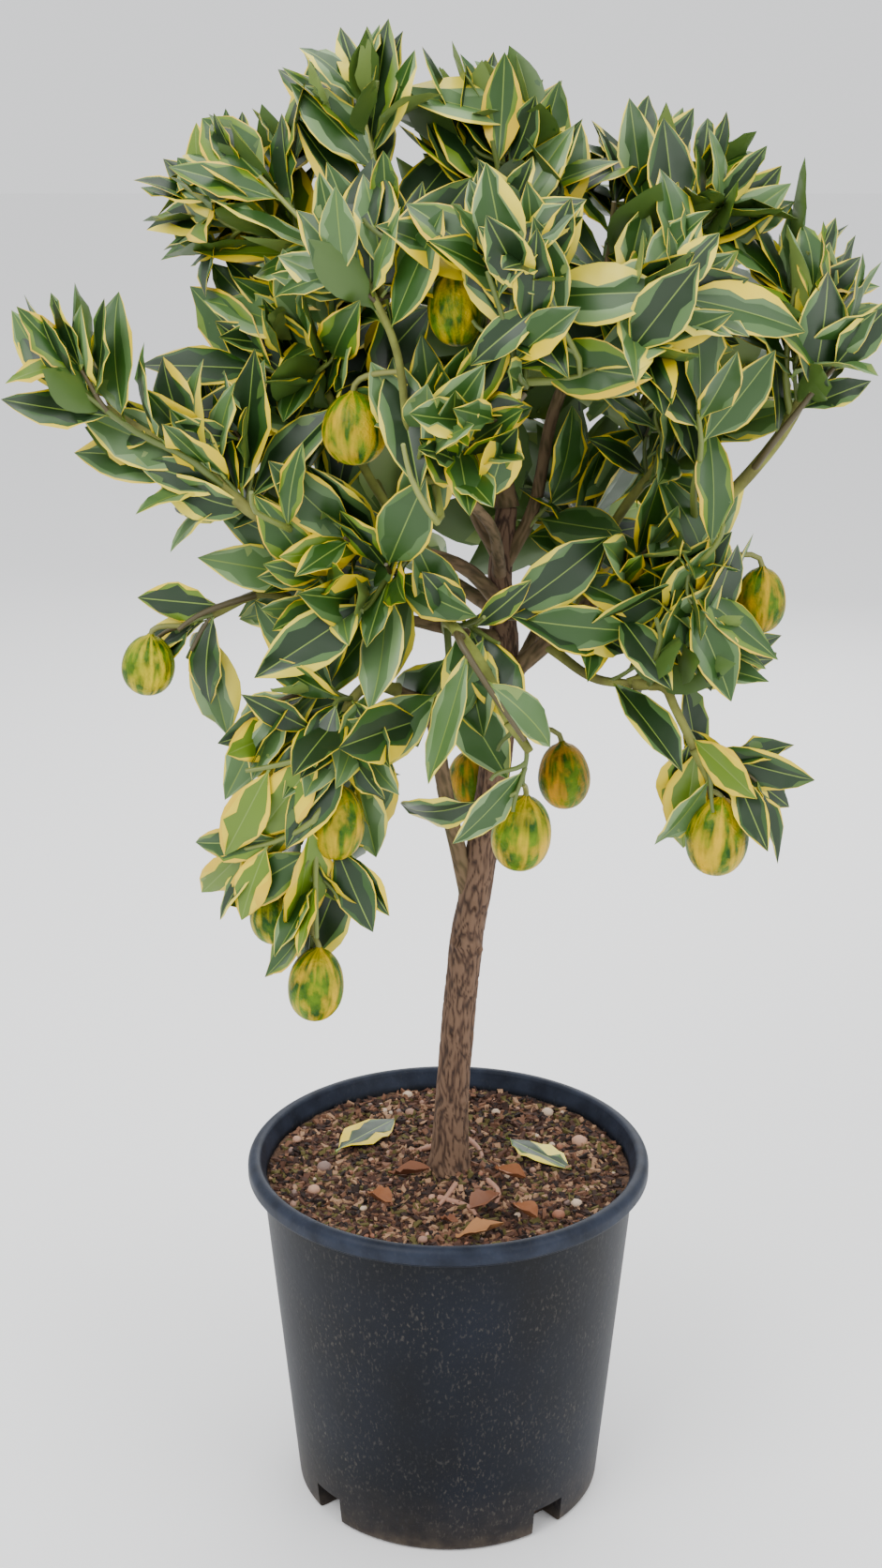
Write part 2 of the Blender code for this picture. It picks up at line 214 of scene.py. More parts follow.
def ramp(material, factor, *stops):
    """A colour for each part of a factor. A stop is a position with a colour, or with a grey from 0 to 1."""
    node = add_node(material, "ShaderNodeValToRGB")
    while len(node.color_ramp.elements) < len(stops):
        node.color_ramp.elements.new(0.5)
    for element, (position, value) in zip(node.color_ramp.elements, stops):
        colour = linear(*value) if isinstance(value, tuple) else (value, value, value)
        element.position = position
        element.color = (*colour, 1.0)
    material.node_tree.links.new(factor, node.inputs["Fac"])
    return node.outputs["Color"]


def mixed(material, share, first, second):
    """Two colours mixed by a share from 0 to 1."""
    node = add_node(material, "ShaderNodeMix", data_type="RGBA")
    for source, socket in ((share, 0), (first, 6), (second, 7)):
        material.node_tree.links.new(source, node.inputs[socket])
    return node.outputs[2]


def bump(material, height, strength, distance):
    """Fine relief that is too small for the mesh."""
    node = add_node(material, "ShaderNodeBump", {"Strength": strength, "Distance": distance})
    material.node_tree.links.new(height, node.inputs["Height"])
    material.node_tree.links.new(node.outputs["Normal"], shader_of(material).inputs["Normal"])


def colour_from(material, colour):
    material.node_tree.links.new(colour, shader_of(material).inputs["Base Color"])


print("helpers: streaks, ramp, mixed and bump")

# %% [markdown]
# ## Pieces
# Every piece rides on the one body of the tree. Most pieces are many copies of one small shape: chips,
# leaves, shoots. Separate objects or particles would be slow and wouldn't be exported, so all copies of a
# kind are one mesh that is filled from arrays, with a finish for each face.

# %% Helpers for pieces


def add_piece(name, mesh, materials, nodes=()):
    """A finished piece, on the tree's body, in place of the CAD nodes that it stands for."""
    for material in materials:
        mesh.materials.append(material)
    ob = add_object(name, mesh)
    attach(ob, "root")
    if nodes:
        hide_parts(*nodes)
    print(name, len(mesh.polygons), "faces")


def joined_mesh(name, places, faces, looks, sharp=math.radians(60)):
    """Many copies of a shape in one mesh: places is copies by points by 3, looks is copies by faces."""
    copies, points = places.shape[:2]
    corners = np.concatenate([np.array(face) for face in faces])
    starts = np.cumsum([0] + [len(face) for face in faces[:-1]])
    mesh = bpy.data.meshes.new(name)
    mesh.vertices.add(copies * points)
    mesh.vertices.foreach_set("co", places.reshape(-1).astype(np.float32))
    mesh.loops.add(copies * len(corners))
    loops = corners[None] + np.arange(copies)[:, None] * points
    mesh.loops.foreach_set("vertex_index", loops.reshape(-1).astype(np.int32))
    mesh.polygons.add(copies * len(faces))
    begins = starts[None] + np.arange(copies)[:, None] * len(corners)
    mesh.polygons.foreach_set("loop_start", begins.reshape(-1).astype(np.int32))
    mesh.polygons.foreach_set("material_index", looks.reshape(-1).astype(np.int32))
    mesh.update(calc_edges=True)
    mesh.shade_smooth()
    mesh.set_sharp_from_angle(angle=sharp)
    return mesh


def same_look(finishes_of_copies, faces):
    """The looks for joined_mesh where each copy has one finish all over."""
    return np.repeat(np.array(finishes_of_copies)[:, None], len(faces), axis=1)


print("helpers: add_piece and joined_mesh")

# %% [markdown]
# ## The pot
# A nursery pot is blow-moulded: a thin tapering wall, a rim rolled outward with a skirt below it, and four
# drainage recesses in its foot, which stand into the pot with a lining of their own. A profile spun round
# the axis makes the body and the hollow, and Boolean cuts take out the recesses.

# %% Sizes of the pot
POT_HEIGHT = 0.2520
RIM_RADIUS = 0.140
RIM_FOOT = 0.2392
RIM_FLAT_RADIUS = 0.1335
RIM_ROLL = 0.0055
RIM_LIP = 0.0012
SKIRT_EDGE = 0.0008
SKIRT_INSET = 0.0018
SKIRT_THICKNESS = 0.0030
SKIRT_GROOVE = 0.0065
SKIRT_SEAM = 0.0010
MOUTH_EDGE = 0.1338
MOUTH_ROLL = 0.0032
MOUTH_FOOT = 0.244
WALL_TOP_RADIUS = 0.1303
FOOT_RADIUS = 0.1080
FOOT_ROUNDING = 0.0035
WALL = 0.0025
FLOOR = 0.003
RECESS_COUNT = 4
RECESS_WIDTH = 0.0255
RECESS_DEPTH = 0.0180
RECESS_HEIGHT = 0.0210
RECESS_FIRST_AZIMUTH = math.radians(-50.5)
CUT_OUTWARD = 0.03
CUT_BELOW = 0.01


def wall_radius(height):
    """The outer radius of the tapering wall."""
    return FOOT_RADIUS + (WALL_TOP_RADIUS - FOOT_RADIUS) * height / RIM_FOOT


print("foot", FOOT_RADIUS, "and rim", RIM_RADIUS)

# %% Spinning and cutting


def arc(radius, height, size, start, end, steps):
    """Points of an arc about (radius, height), from one angle in degrees to another."""
    angles = [math.radians(start + (end - start) * step / steps) for step in range(steps + 1)]
    return [(radius + size * math.cos(angle), height + size * math.sin(angle)) for angle in angles]


def spun(name, profile, steps=144):
    """A profile of (radius, height) that starts and ends on the axis, spun into a closed shape."""
    bm = bmesh.new()
    points = [bm.verts.new((radius, 0.0, height)) for radius, height in profile]
    edges = [bm.edges.new(pair) for pair in zip(points, points[1:])]
    bmesh.ops.spin(bm, geom=points + edges, cent=(0, 0, 0), axis=(0, 0, 1), angle=math.tau, steps=steps,
                   use_merge=True)
    bmesh.ops.remove_doubles(bm, verts=bm.verts, dist=0.00001)
    bmesh.ops.recalc_face_normals(bm, faces=bm.faces)
    return mesh_from(name, bm)


def recess_block(index, growth):
    """A block at a drainage recess, larger by growth where the wall lines it."""
    bm = bmesh.new()
    bmesh.ops.create_cube(bm, size=1.0)
    depth = RECESS_DEPTH + growth + CUT_OUTWARD
    height = RECESS_HEIGHT + growth + CUT_BELOW
    inner = FOOT_RADIUS - RECESS_DEPTH - growth
    bmesh.ops.scale(bm, vec=(RECESS_WIDTH + 2 * growth, depth, height), verts=bm.verts)
    bmesh.ops.translate(bm, vec=(0.0, -inner - depth / 2, height / 2 - CUT_BELOW), verts=bm.verts)
    ob = add_object("recess_block", mesh_from("recess_block", bm))
    ob.rotation_euler.z = RECESS_FIRST_AZIMUTH + index * math.tau / RECESS_COUNT
    return ob


def carved(mesh, cutters):
    """The mesh less the cutters, which are removed afterwards."""
    ob = add_object("carved", mesh)
    for cutter in cutters:
        cut = ob.modifiers.new("cut", "BOOLEAN")
        cut.operation = "DIFFERENCE"
        cut.solver = "EXACT"
        cut.object = cutter
    result = bpy.data.meshes.new_from_object(ob.evaluated_get(bpy.context.evaluated_depsgraph_get()))
    for used in [ob, *cutters]:
        bpy.data.objects.remove(used, do_unlink=True)
    return result


def recess_blocks(growth):
    return [recess_block(index, growth) for index in range(RECESS_COUNT)]


print("helpers: spun and carved")

# %% The pot's form
skirt_inside = RIM_RADIUS - SKIRT_THICKNESS
outside = [(0.0, POT_HEIGHT), (RIM_FLAT_RADIUS, POT_HEIGHT)]
outside += arc(RIM_RADIUS - RIM_ROLL, POT_HEIGHT - RIM_ROLL, RIM_ROLL, 90, 0, 10)
outside += arc(RIM_RADIUS - RIM_LIP, RIM_FOOT + 2 * RIM_LIP, RIM_LIP, 0, -90, 4)
outside += arc(RIM_RADIUS - SKIRT_INSET, RIM_FOOT + SKIRT_EDGE, SKIRT_EDGE, 0, -90, 3)
outside += [(skirt_inside, RIM_FOOT), (skirt_inside, RIM_FOOT + SKIRT_GROOVE)]
outside += [(WALL_TOP_RADIUS + SKIRT_SEAM, RIM_FOOT + SKIRT_GROOVE), (WALL_TOP_RADIUS, RIM_FOOT)]
outside += [(wall_radius(height), height) for height in (0.16, 0.08, 0.012)]
outside += arc(wall_radius(FOOT_ROUNDING) - FOOT_ROUNDING, FOOT_ROUNDING, FOOT_ROUNDING, 0, -90, 5)
outside += [(0.0, 0.0)]
hollow = [(0.0, POT_HEIGHT + 0.01), (MOUTH_EDGE, POT_HEIGHT + 0.01), (MOUTH_EDGE, POT_HEIGHT)]
hollow += arc(MOUTH_EDGE, POT_HEIGHT - MOUTH_ROLL, MOUTH_ROLL, 90, 180, 6)
hollow += [(WALL_TOP_RADIUS - WALL, MOUTH_FOOT), (wall_radius(FLOOR) - WALL, FLOOR), (0.0, FLOOR)]
hollow_block = add_object("hollow", carved(spun("hollow", hollow), recess_blocks(WALL)))
pot_mesh = carved(spun("pot_body", outside), [*recess_blocks(0.0), hollow_block])
pot_mesh.shade_smooth()
pot_mesh.set_sharp_from_angle(angle=math.radians(35))
print("pot of", len(pot_mesh.polygons), "faces, with a wall of", WALL * 1000, "mm")

# %% [markdown]
# ### Its finish
# The plastic is a slate blue so dark that it is nearly black. Handling has left fine pale scuffs all over
# it, in faint clouds, and brown dirt near the foot. The rim is painted paler than the wall, a painted
# highlight. The height above the ground, from the object's own coordinates, says where the dirt and the
# painted highlight are.

# %% The pot's finish
pot_plastic = plain("pot_plastic", linear(44, 49, 60), 0.50, specular=0.2)
clouds = streaks(pot_plastic, 14.0, (1.0, 1.0, 0.6))
base = ramp(pot_plastic, clouds, (0.30, (4, 7, 13)), (0.70, (16, 22, 33)))
scuff_mask = ramp(pot_plastic, streaks(pot_plastic, 560.0, (1.0, 1.0, 0.5), 3.0), (0.56, 0.0), (0.70, 0.55))
scuff = ramp(pot_plastic, streaks(pot_plastic, 22.0), (0.35, (30, 33, 39)), (0.7, (84, 79, 72)))
rubbed = mixed(pot_plastic, scuff_mask, base, scuff)
own_place = add_node(pot_plastic, "ShaderNodeTexCoord")
split = add_node(pot_plastic, "ShaderNodeSeparateXYZ")
pot_plastic.node_tree.links.new(own_place.outputs["Object"], split.inputs["Vector"])
height_above = split.outputs["Z"]
dirt_mask = ramp(pot_plastic, height_above, (0.0, 0.55), (0.012, 0.16), (0.05, 0.0), (1.0, 0.0))
dirt = ramp(pot_plastic, streaks(pot_plastic, 90.0), (0.4, (66, 56, 48)), (0.65, (96, 84, 70)))
dirty = mixed(pot_plastic, dirt_mask, rubbed, dirt)
# Above the skirt the rim is painted paler than the wall: a painted highlight.
rim_highlight_mask = ramp(pot_plastic, height_above, (0.0, 0.0), (0.2385, 0.0), (0.2395, 0.75), (1.0, 0.75))
painted_rim_highlight = ramp(pot_plastic, streaks(pot_plastic, 60.0), (0.3, (24, 30, 42)), (0.7, (46, 53, 68)))
colour_from(pot_plastic, mixed(pot_plastic, rim_highlight_mask, dirty, painted_rim_highlight))
bump(pot_plastic, streaks(pot_plastic, 180.0), 0.25, 0.0006)
add_piece("pot_shell", pot_mesh, [pot_plastic], ["pot"])

# %% [markdown]
# ## The soil
# The pot is filled to just under its rim with bark compost. The ground is a spun plug whose top is pushed
# up and down by noise, and rises a little round the trunk. It stops short of the pot's wall.

# %% The soil's ground
SOIL_TOP = 0.2370
SOIL_FOOT = 0.03
SOIL_CLEARANCE = 0.0006
SOIL_RADIUS = wall_radius(SOIL_TOP) - WALL - SOIL_CLEARANCE
SOIL_RINGS = 70
TRUNK_FOOT = Vector((0.001, -0.002, SOIL_TOP))


def noise_at(x, y, z):
    """Smooth noise from -1 to 1, the same in each run."""
    return noise.noise(Vector((x, y, z)))


def ground_height(x, y):
    """The lumpy surface of the soil, a little higher round the trunk."""
    away = math.hypot(x - TRUNK_FOOT.x, y - TRUNK_FOOT.y)
    lumps = noise_at(x * 40, y * 40, 3.0) * 0.0022 + noise_at(x * 150, y * 150, 9.0) * 0.0013
    return SOIL_TOP + lumps + 0.004 * math.exp(-((away / 0.03) ** 2))


soil_profile = [(SOIL_RADIUS * ring / SOIL_RINGS, SOIL_TOP) for ring in range(SOIL_RINGS + 1)]
soil_profile += [(wall_radius(SOIL_FOOT) - WALL - SOIL_CLEARANCE, SOIL_FOOT), (0.0, SOIL_FOOT)]
soil_mesh = spun("soil_ground", soil_profile)
for vertex in soil_mesh.vertices:
    if vertex.co.z > SOIL_TOP - 0.001:
        vertex.co.z = ground_height(vertex.co.x, vertex.co.y)
soil_mesh.shade_smooth()
compost = plain("compost", linear(70, 50, 38), 0.95)
colour_from(compost, ramp(compost, streaks(compost, 220.0), (0.30, (38, 26, 20)), (0.5, (84, 60, 44)),
                          (0.72, (128, 98, 74))))
bump(compost, streaks(compost, 400.0), 0.8, 0.0015)
add_piece("soil_ground", soil_mesh, [compost], ["soil"])

# %% [markdown]
# ### What lies on it
# Thousands of chips of bark make the compost's texture, with grit between them. Each chip is a block of
# six faces with its corners shaken, at its own size and turn. They are real shapes, since a bump in the
# material would look flat from the side.

# %% Scattering


def turns(count, tilt):
    """Random rotations, with the flat side up within a tilt in radians."""
    heading = chance.uniform(0, math.tau, count)
    lean = chance.normal(0, tilt, count)
    spin = np.zeros((count, 3, 3))
    spin[:, 0, 0] = spin[:, 1, 1] = np.cos(heading)
    spin[:, 1, 0] = np.sin(heading)
    spin[:, 0, 1] = -spin[:, 1, 0]
    spin[:, 2, 2] = 1
    tip = np.zeros((count, 3, 3))
    tip[:, 0, 0] = tip[:, 2, 2] = np.cos(lean)
    tip[:, 0, 2] = np.sin(lean)
    tip[:, 2, 0] = -tip[:, 0, 2]
    tip[:, 1, 1] = 1
    return spin @ tip


def scattered(count, margin=0.004):
    """Random places on the soil, clear of the trunk and of the pot."""
    away = np.sqrt(chance.uniform(0.012, 1.0, count)) * (SOIL_RADIUS - margin)
    heading = chance.uniform(0, math.tau, count)
    x, y = away * np.cos(heading), away * np.sin(heading)
    z = np.array([ground_height(*place) for place in zip(x, y)])
    return np.stack([x, y, z], axis=1)


def strewn(name, template, faces, sizes, tilt, lift, tints, jitter, sharp):
    """Copies of a template, each of its own size and turn, laid on the soil."""
    count = len(sizes)
    shaken = chance.normal(0, jitter, (count, *template.shape)) * sizes[:, None]
    shapes = template[None] * sizes[:, None] + shaken
    placed = np.einsum("nij,nvj->nvi", turns(count, tilt), shapes) + scattered(count)[:, None]
    placed[:, :, 2] += (sizes[:, 2] * lift)[:, None]
    looks = same_look(chance.integers(0, len(tints), count), faces)
    add_piece(name, joined_mesh(name, placed, faces, looks, sharp), tints)


chance = np.random.default_rng(11)
print("helper: strewn")

# %% Chips and grit
CHIP_COUNT = 5200
GRIT_COUNT = 120
CHIP_TINTS = (
    (50, 32, 24), (36, 24, 19), (84, 56, 42), (66, 43, 33), (112, 78, 58), (150, 116, 88), (84, 76, 38),
)
STONE_TINTS = (176, 136, 112), (146, 112, 94), (190, 166, 142), (124, 102, 94), (140, 92, 70)
BLOCK_FACES = (0, 1, 3, 2), (4, 6, 7, 5), (0, 4, 5, 1), (2, 3, 7, 6), (0, 2, 6, 4), (1, 5, 7, 3)

block = np.array([(x, y, z) for x in (-0.5, 0.5) for y in (-0.5, 0.5) for z in (-0.5, 0.5)])
block[:, 1] *= np.where(block[:, 0] > 0, 0.55, 1.0)
size_ranges = (0.003, 0.0105), (0.0016, 0.0048), (0.0008, 0.0026)
chip_sizes = np.stack([chance.uniform(*sizes, CHIP_COUNT) for sizes in size_ranges], axis=1)
strewn("bark_chips", block, BLOCK_FACES, chip_sizes, 0.45, 0.35, tinted("chip", CHIP_TINTS, 0.9), 0.09,
       math.radians(30))

ball = bmesh.new()
bmesh.ops.create_icosphere(ball, subdivisions=2, radius=0.5)
ball_points = np.array([vertex.co[:] for vertex in ball.verts])
ball_faces = [tuple(vertex.index for vertex in face.verts) for face in ball.faces]
ball.free()
grit_sizes = chance.uniform(0.0022, 0.0052, GRIT_COUNT)[:, None] * chance.uniform(0.7, 1.15, (GRIT_COUNT, 3))
stones = tinted("stone", STONE_TINTS, 0.75)
strewn("grit", ball_points, ball_faces, grit_sizes, 0.5, 0.3, stones, 0.03, math.radians(60))

# %% [markdown]
# ### Pebbles
# The larger pebbles lie where the photograph shows them. The ray through a pixel is cut with the level of
# the soil, which gives a place without a guessed depth.

# %% Pebbles
PEBBLES = (
    # column and row of the middle, radius in pixels, tint
    (618, 1220, 9, 0), (584, 1190, 7, 2), (438, 1190, 6, 1), (435, 1171, 6, 2), (346, 1248, 8, 3),
    (335, 1272, 7, 0), (529, 1190, 5, 2), (596, 1300, 7, 4), (615, 1288, 6, 2), (317, 1220, 5, 0),
    (451, 1329, 5, 1),
)
PEBBLE_SHAPE = [1.0, 0.9, 0.75]
PIXELS_PER_METRE = 1517.0


def ground_at(column, row, lift=0.003):
    """The point of the soil that the photograph shows at a pixel."""
    near, far = seen_at(column, row, -RIM_RADIUS), seen_at(column, row, RIM_RADIUS)
    spot = near.lerp(far, (near.z - SOIL_TOP) / (near.z - far.z))
    return Vector((spot.x, spot.y, ground_height(spot.x, spot.y) + lift))


pebble_points = np.array([
    ball_points * PEBBLE_SHAPE * 2 * size / PIXELS_PER_METRE + np.array(ground_at(column, row))
    for column, row, size, _ in PEBBLES
])
pebble_points += chance.normal(0, 0.0002, pebble_points.shape)
pebble_looks = same_look([pebble[3] for pebble in PEBBLES], ball_faces)
add_piece("pebbles", joined_mesh("pebbles", pebble_points, ball_faces, pebble_looks), stones)

# %% [markdown]
# ## Limbs
# The trunk and each bough keep the lines and radii of the CAD model. A limb is a smooth curve through a
# few knees. The CAD model ends a bough where it enters a mass of foliage. Here the boughs run on inside,
# so that the shoots have something to grow from.

# %% The lines of the limbs
TRUNK_LINE = (
    (0.001, -0.002, 0.2293), (0.001, -0.002, 0.2513), (0.004, -0.002, 0.316), (0.012, -0.002, 0.408),
    (0.019, -0.002, 0.454), (0.032, 0.000, 0.545), (0.036, 0.000, 0.615), (0.033, 0.003, 0.660),
    (0.037, 0.008, 0.706),
)
TRUNK_RADII = (0.0170, 0.0130, 0.0112, 0.0113, 0.0108, 0.0103, 0.0096, 0.0080, 0.0066)

# Each limb has its carrier, the share of the carrier's length where it starts, its radii at both ends,
# and then its knees and its end
LIMBS = {
    "bough_top": ("trunk", 1.0, 0.0062, 0.0040, (0.031, 0.013, 0.770), (0.026, 0.008, 0.885)),
    "bough_low_left": ("trunk", 0.430, 0.0062, 0.0035, (-0.001, -0.010, 0.512), (-0.012, -0.034, 0.580),
                       (-0.032, -0.062, 0.604)),
    "bough_right": ("trunk", 0.765, 0.0058, 0.0046, (0.067, -0.020, 0.627), (0.087, -0.030, 0.650),
                    (0.112, -0.036, 0.674)),
    "bough_left_lower": ("trunk", 0.820, 0.0046, 0.0035, (-0.006, -0.028, 0.636), (-0.034, -0.040, 0.646)),
    "bough_left": ("trunk", 0.870, 0.0050, 0.0042, (0.010, -0.018, 0.672), (-0.020, -0.050, 0.690)),
    "bough_front": ("trunk", 0.905, 0.0042, 0.0030, (0.026, -0.045, 0.704), (-0.002, -0.098, 0.742)),
    "bough_upper_left": ("trunk", 0.930, 0.0046, 0.0034, (0.015, 0.004, 0.708), (0.002, 0.004, 0.768),
                         (-0.040, -0.020, 0.812)),
    "bough_upper_right": ("trunk", 0.915, 0.0046, 0.0032, (0.054, 0.004, 0.706), (0.066, 0.002, 0.768),
                          (0.090, -0.004, 0.828), (0.106, 0.002, 0.892)),
    "bough_back_left": ("trunk", 0.855, 0.0050, 0.0036, (-0.004, 0.050, 0.652), (-0.040, 0.100, 0.668)),
    "bough_back_right": ("trunk", 0.720, 0.0052, 0.0036, (0.058, 0.045, 0.612), (0.086, 0.092, 0.640)),
    "bough_back_top": ("bough_top", 0.40, 0.0042, 0.0034, (0.030, 0.060, 0.782), (0.028, 0.124, 0.780)),
    "bough_front_top": ("bough_top", 0.62, 0.0038, 0.0030, (0.033, -0.040, 0.826), (0.034, -0.092, 0.845)),
    "limb_right_up": ("bough_right", 0.62, 0.0036, 0.0030, (0.104, -0.018, 0.700), (0.132, -0.014, 0.738)),
    "limb_right_low": ("bough_right", 0.36, 0.0032, 0.0028, (0.090, -0.046, 0.608), (0.116, -0.056, 0.606)),
    "limb_front_hanging": ("bough_left_lower", 0.55, 0.0036, 0.0034, (0.000, -0.080, 0.652),
                           (0.018, -0.112, 0.636), (0.036, -0.130, 0.604)),
    "limb_right_long": ("bough_right", 1.0, 0.0046, 0.0036, (0.142, -0.046, 0.700), (0.170, -0.050, 0.723),
                        (0.198, -0.055, 0.758), (0.214, -0.058, 0.788)),
    "limb_left_long": ("bough_left", 1.0, 0.0042, 0.0030, (-0.071, -0.075, 0.702), (-0.115, -0.085, 0.719),
                       (-0.150, -0.090, 0.752), (-0.181, -0.090, 0.770), (-0.203, -0.090, 0.784)),
    "limb_left_fruit": ("bough_left_lower", 1.0, 0.0034, 0.0026, (-0.064, -0.052, 0.655),
                        (-0.092, -0.056, 0.660), (-0.118, -0.060, 0.665), (-0.146, -0.060, 0.652)),
    "limb_right_hanging": ("limb_right_low", 1.0, 0.0030, 0.0028, (0.134, -0.063, 0.606),
                           (0.141, -0.066, 0.594), (0.154, -0.070, 0.568)),
    "limb_left_hanging": ("bough_low_left", 1.0, 0.0034, 0.0024, (-0.052, -0.075, 0.610),
                          (-0.070, -0.090, 0.588), (-0.078, -0.096, 0.560), (-0.082, -0.099, 0.535),
                          (-0.085, -0.100, 0.508), (-0.086, -0.100, 0.455)),
}
# The same for the runs inside the foliage
INNER_LIMBS = {
    "inner_upper_left": ("bough_upper_left", 1.0, 0.0034, 0.0024, (-0.073, -0.030, 0.853),
                         (-0.107, -0.015, 0.885)),
    "inner_top_spray": ("bough_upper_left", 0.9, 0.0032, 0.0022, (-0.044, -0.028, 0.857),
                        (-0.050, -0.020, 0.930)),
    "inner_top_right": ("bough_upper_right", 0.96, 0.0030, 0.0024, (0.112, 0.000, 0.880),
                        (0.122, 0.010, 0.905)),
    "inner_right_up": ("limb_right_up", 1.0, 0.0030, 0.0022, (0.140, -0.025, 0.775),
                       (0.156, -0.032, 0.850)),
    "inner_front_up": ("bough_front", 1.0, 0.0030, 0.0020, (-0.021, -0.125, 0.757),
                       (-0.030, -0.120, 0.820), (-0.048, -0.105, 0.860)),
    "inner_front_right": ("bough_front_top", 1.0, 0.0028, 0.0020, (0.060, -0.115, 0.850),
                          (0.105, -0.112, 0.850)),
    "inner_middle_left": ("bough_left", 0.9, 0.0034, 0.0024, (-0.045, -0.055, 0.730),
                          (-0.075, -0.050, 0.790)),
    "inner_back_top": ("bough_back_top", 1.0, 0.0032, 0.0022, (0.028, 0.128, 0.830), (0.025, 0.112, 0.880)),
    "inner_back_left": ("bough_back_left", 0.9, 0.0034, 0.0024, (-0.058, 0.100, 0.730),
                        (-0.078, 0.104, 0.800)),
    "inner_back_right": ("bough_back_right", 0.9, 0.0034, 0.0024, (0.110, 0.104, 0.710),
                         (0.142, 0.110, 0.780)),
    "inner_low_right": ("limb_right_low", 0.95, 0.0028, 0.0022, (0.146, -0.055, 0.622),
                        (0.165, -0.055, 0.650)),
    "inner_hanging_right": ("limb_right_hanging", 1.0, 0.0028, 0.0022, (0.165, -0.072, 0.545)),
    "inner_hanging_front": ("limb_front_hanging", 1.0, 0.0032, 0.0026, (0.048, -0.130, 0.585)),
}
print(len(LIMBS), "limbs and", len(INNER_LIMBS), "runs inside the foliage")

# %% Curves through the knees


def smooth_line(knots, pieces=6):
    """Points on a smooth curve through the knots, a Catmull-Rom spline."""
    knots = [Vector(knot) for knot in knots]
    ends = [knots[0] * 2 - knots[1], *knots, knots[-1] * 2 - knots[-2]]
    line = []
    for before, start, end, after in zip(ends, ends[1:], ends[2:], ends[3:]):
        square = 2 * before - 5 * start + 4 * end - after
        cube = 3 * start - before - 3 * end + after
        for step in range(pieces):
            t = step / pieces
            line.append(0.5 * (2 * start + (end - before) * t + square * t ** 2 + cube * t ** 3))
    return [*line, knots[-1]]


def lengths_along(line):
    """Distance from the start to each point of a line."""
    return np.cumsum([0.0] + [(b - a).length for a, b in zip(line, line[1:])])


def point_along(line, share):
    """The point at a share of a line's length."""
    along = lengths_along(line)
    return Vector([np.interp(share * along[-1], along, places) for places in zip(*line)])


lines = {"trunk": smooth_line(TRUNK_LINE)}
radius_shares = np.linspace(0, 1, len(TRUNK_RADII))
radii = {"trunk": np.interp(np.linspace(0, 1, len(lines["trunk"])), radius_shares, TRUNK_RADII)}
for name, (carrier, share, thick, thin, *points) in (LIMBS | INNER_LIMBS).items():
    lines[name] = smooth_line([point_along(lines[carrier], share), *points])
    radii[name] = np.linspace(thick, thin, len(lines[name]))
print("trunk", round(lengths_along(lines["trunk"])[-1], 3), "m long")

# %% [markdown]
# ### Bark
# The bark of an old citrus stem has wavy furrows that run up it, and rings where side shoots were cut
# away. The relief is worked out as a height at each point: noise that is drawn out along the limb, plus a
# raised ring with a sunken middle at each knot. Young limbs are smooth and green.

# %% The height of the bark
FURROW = 0.0011
FURROW_RADIUS = 0.012
FURROW_LEVEL = 0.75


def relief(place, along, young):
    """How far the bark stands out, from 0 in a furrow to 1 on a ridge. place is measured from the axis."""
    sway = noise_at(place.x * 60, place.y * 60, along * 45) * 0.0045
    drawn_out = noise_at((place.x + sway) * 420, (place.y - sway) * 420, along * 58)
    ridge = min(1.0, abs(drawn_out) * 3.6)
    fine = noise_at(place.x * 900, place.y * 900, along * 220) * 0.5 + 0.5
    return (0.75 * ridge + 0.25 * fine) * (1.0 - young) + young * (0.8 + 0.2 * fine)


def knot_height(place, knots):
    """The raised ring and sunken middle of each knot."""
    height = 0.0
    for knot, size in knots:
        away = (place - knot).length / size
        height += 0.0017 * math.exp(-((away - 0.9) / 0.28) ** 2) - 0.0010 * math.exp(-(away / 0.5) ** 2)
    return height


print("furrows", FURROW * 1000, "mm deep")

# %% [markdown]
# ### Limbs as a mesh
# Each limb starts as an upright cylinder. Its long edges are cut into rings, and every point is then
# moved to its place round the limb's line and out by the bark's height. The height and the age of the bark
# are kept as attributes of the mesh, for the finish to paint shade into the furrows and to turn young
# limbs green.

# %% Wrapping a limb round its line
COLLAR_SWELL = 0.35
COLLAR_LENGTH = 0.010


def cross_axes(line):
    """Two axes across each point of a line, which turn with it as little as they can."""
    tangents = [(b - a).normalized() for a, b in zip(line, line[1:])]
    tangents.append(tangents[-1])
    side = tangents[0].cross(Vector((0.3, 1.0, 0.1))).normalized()
    axes = []
    for tangent in tangents:
        side = (side - tangent * side.dot(tangent)).normalized()
        axes.append((side.copy(), tangent.cross(side)))
    return axes


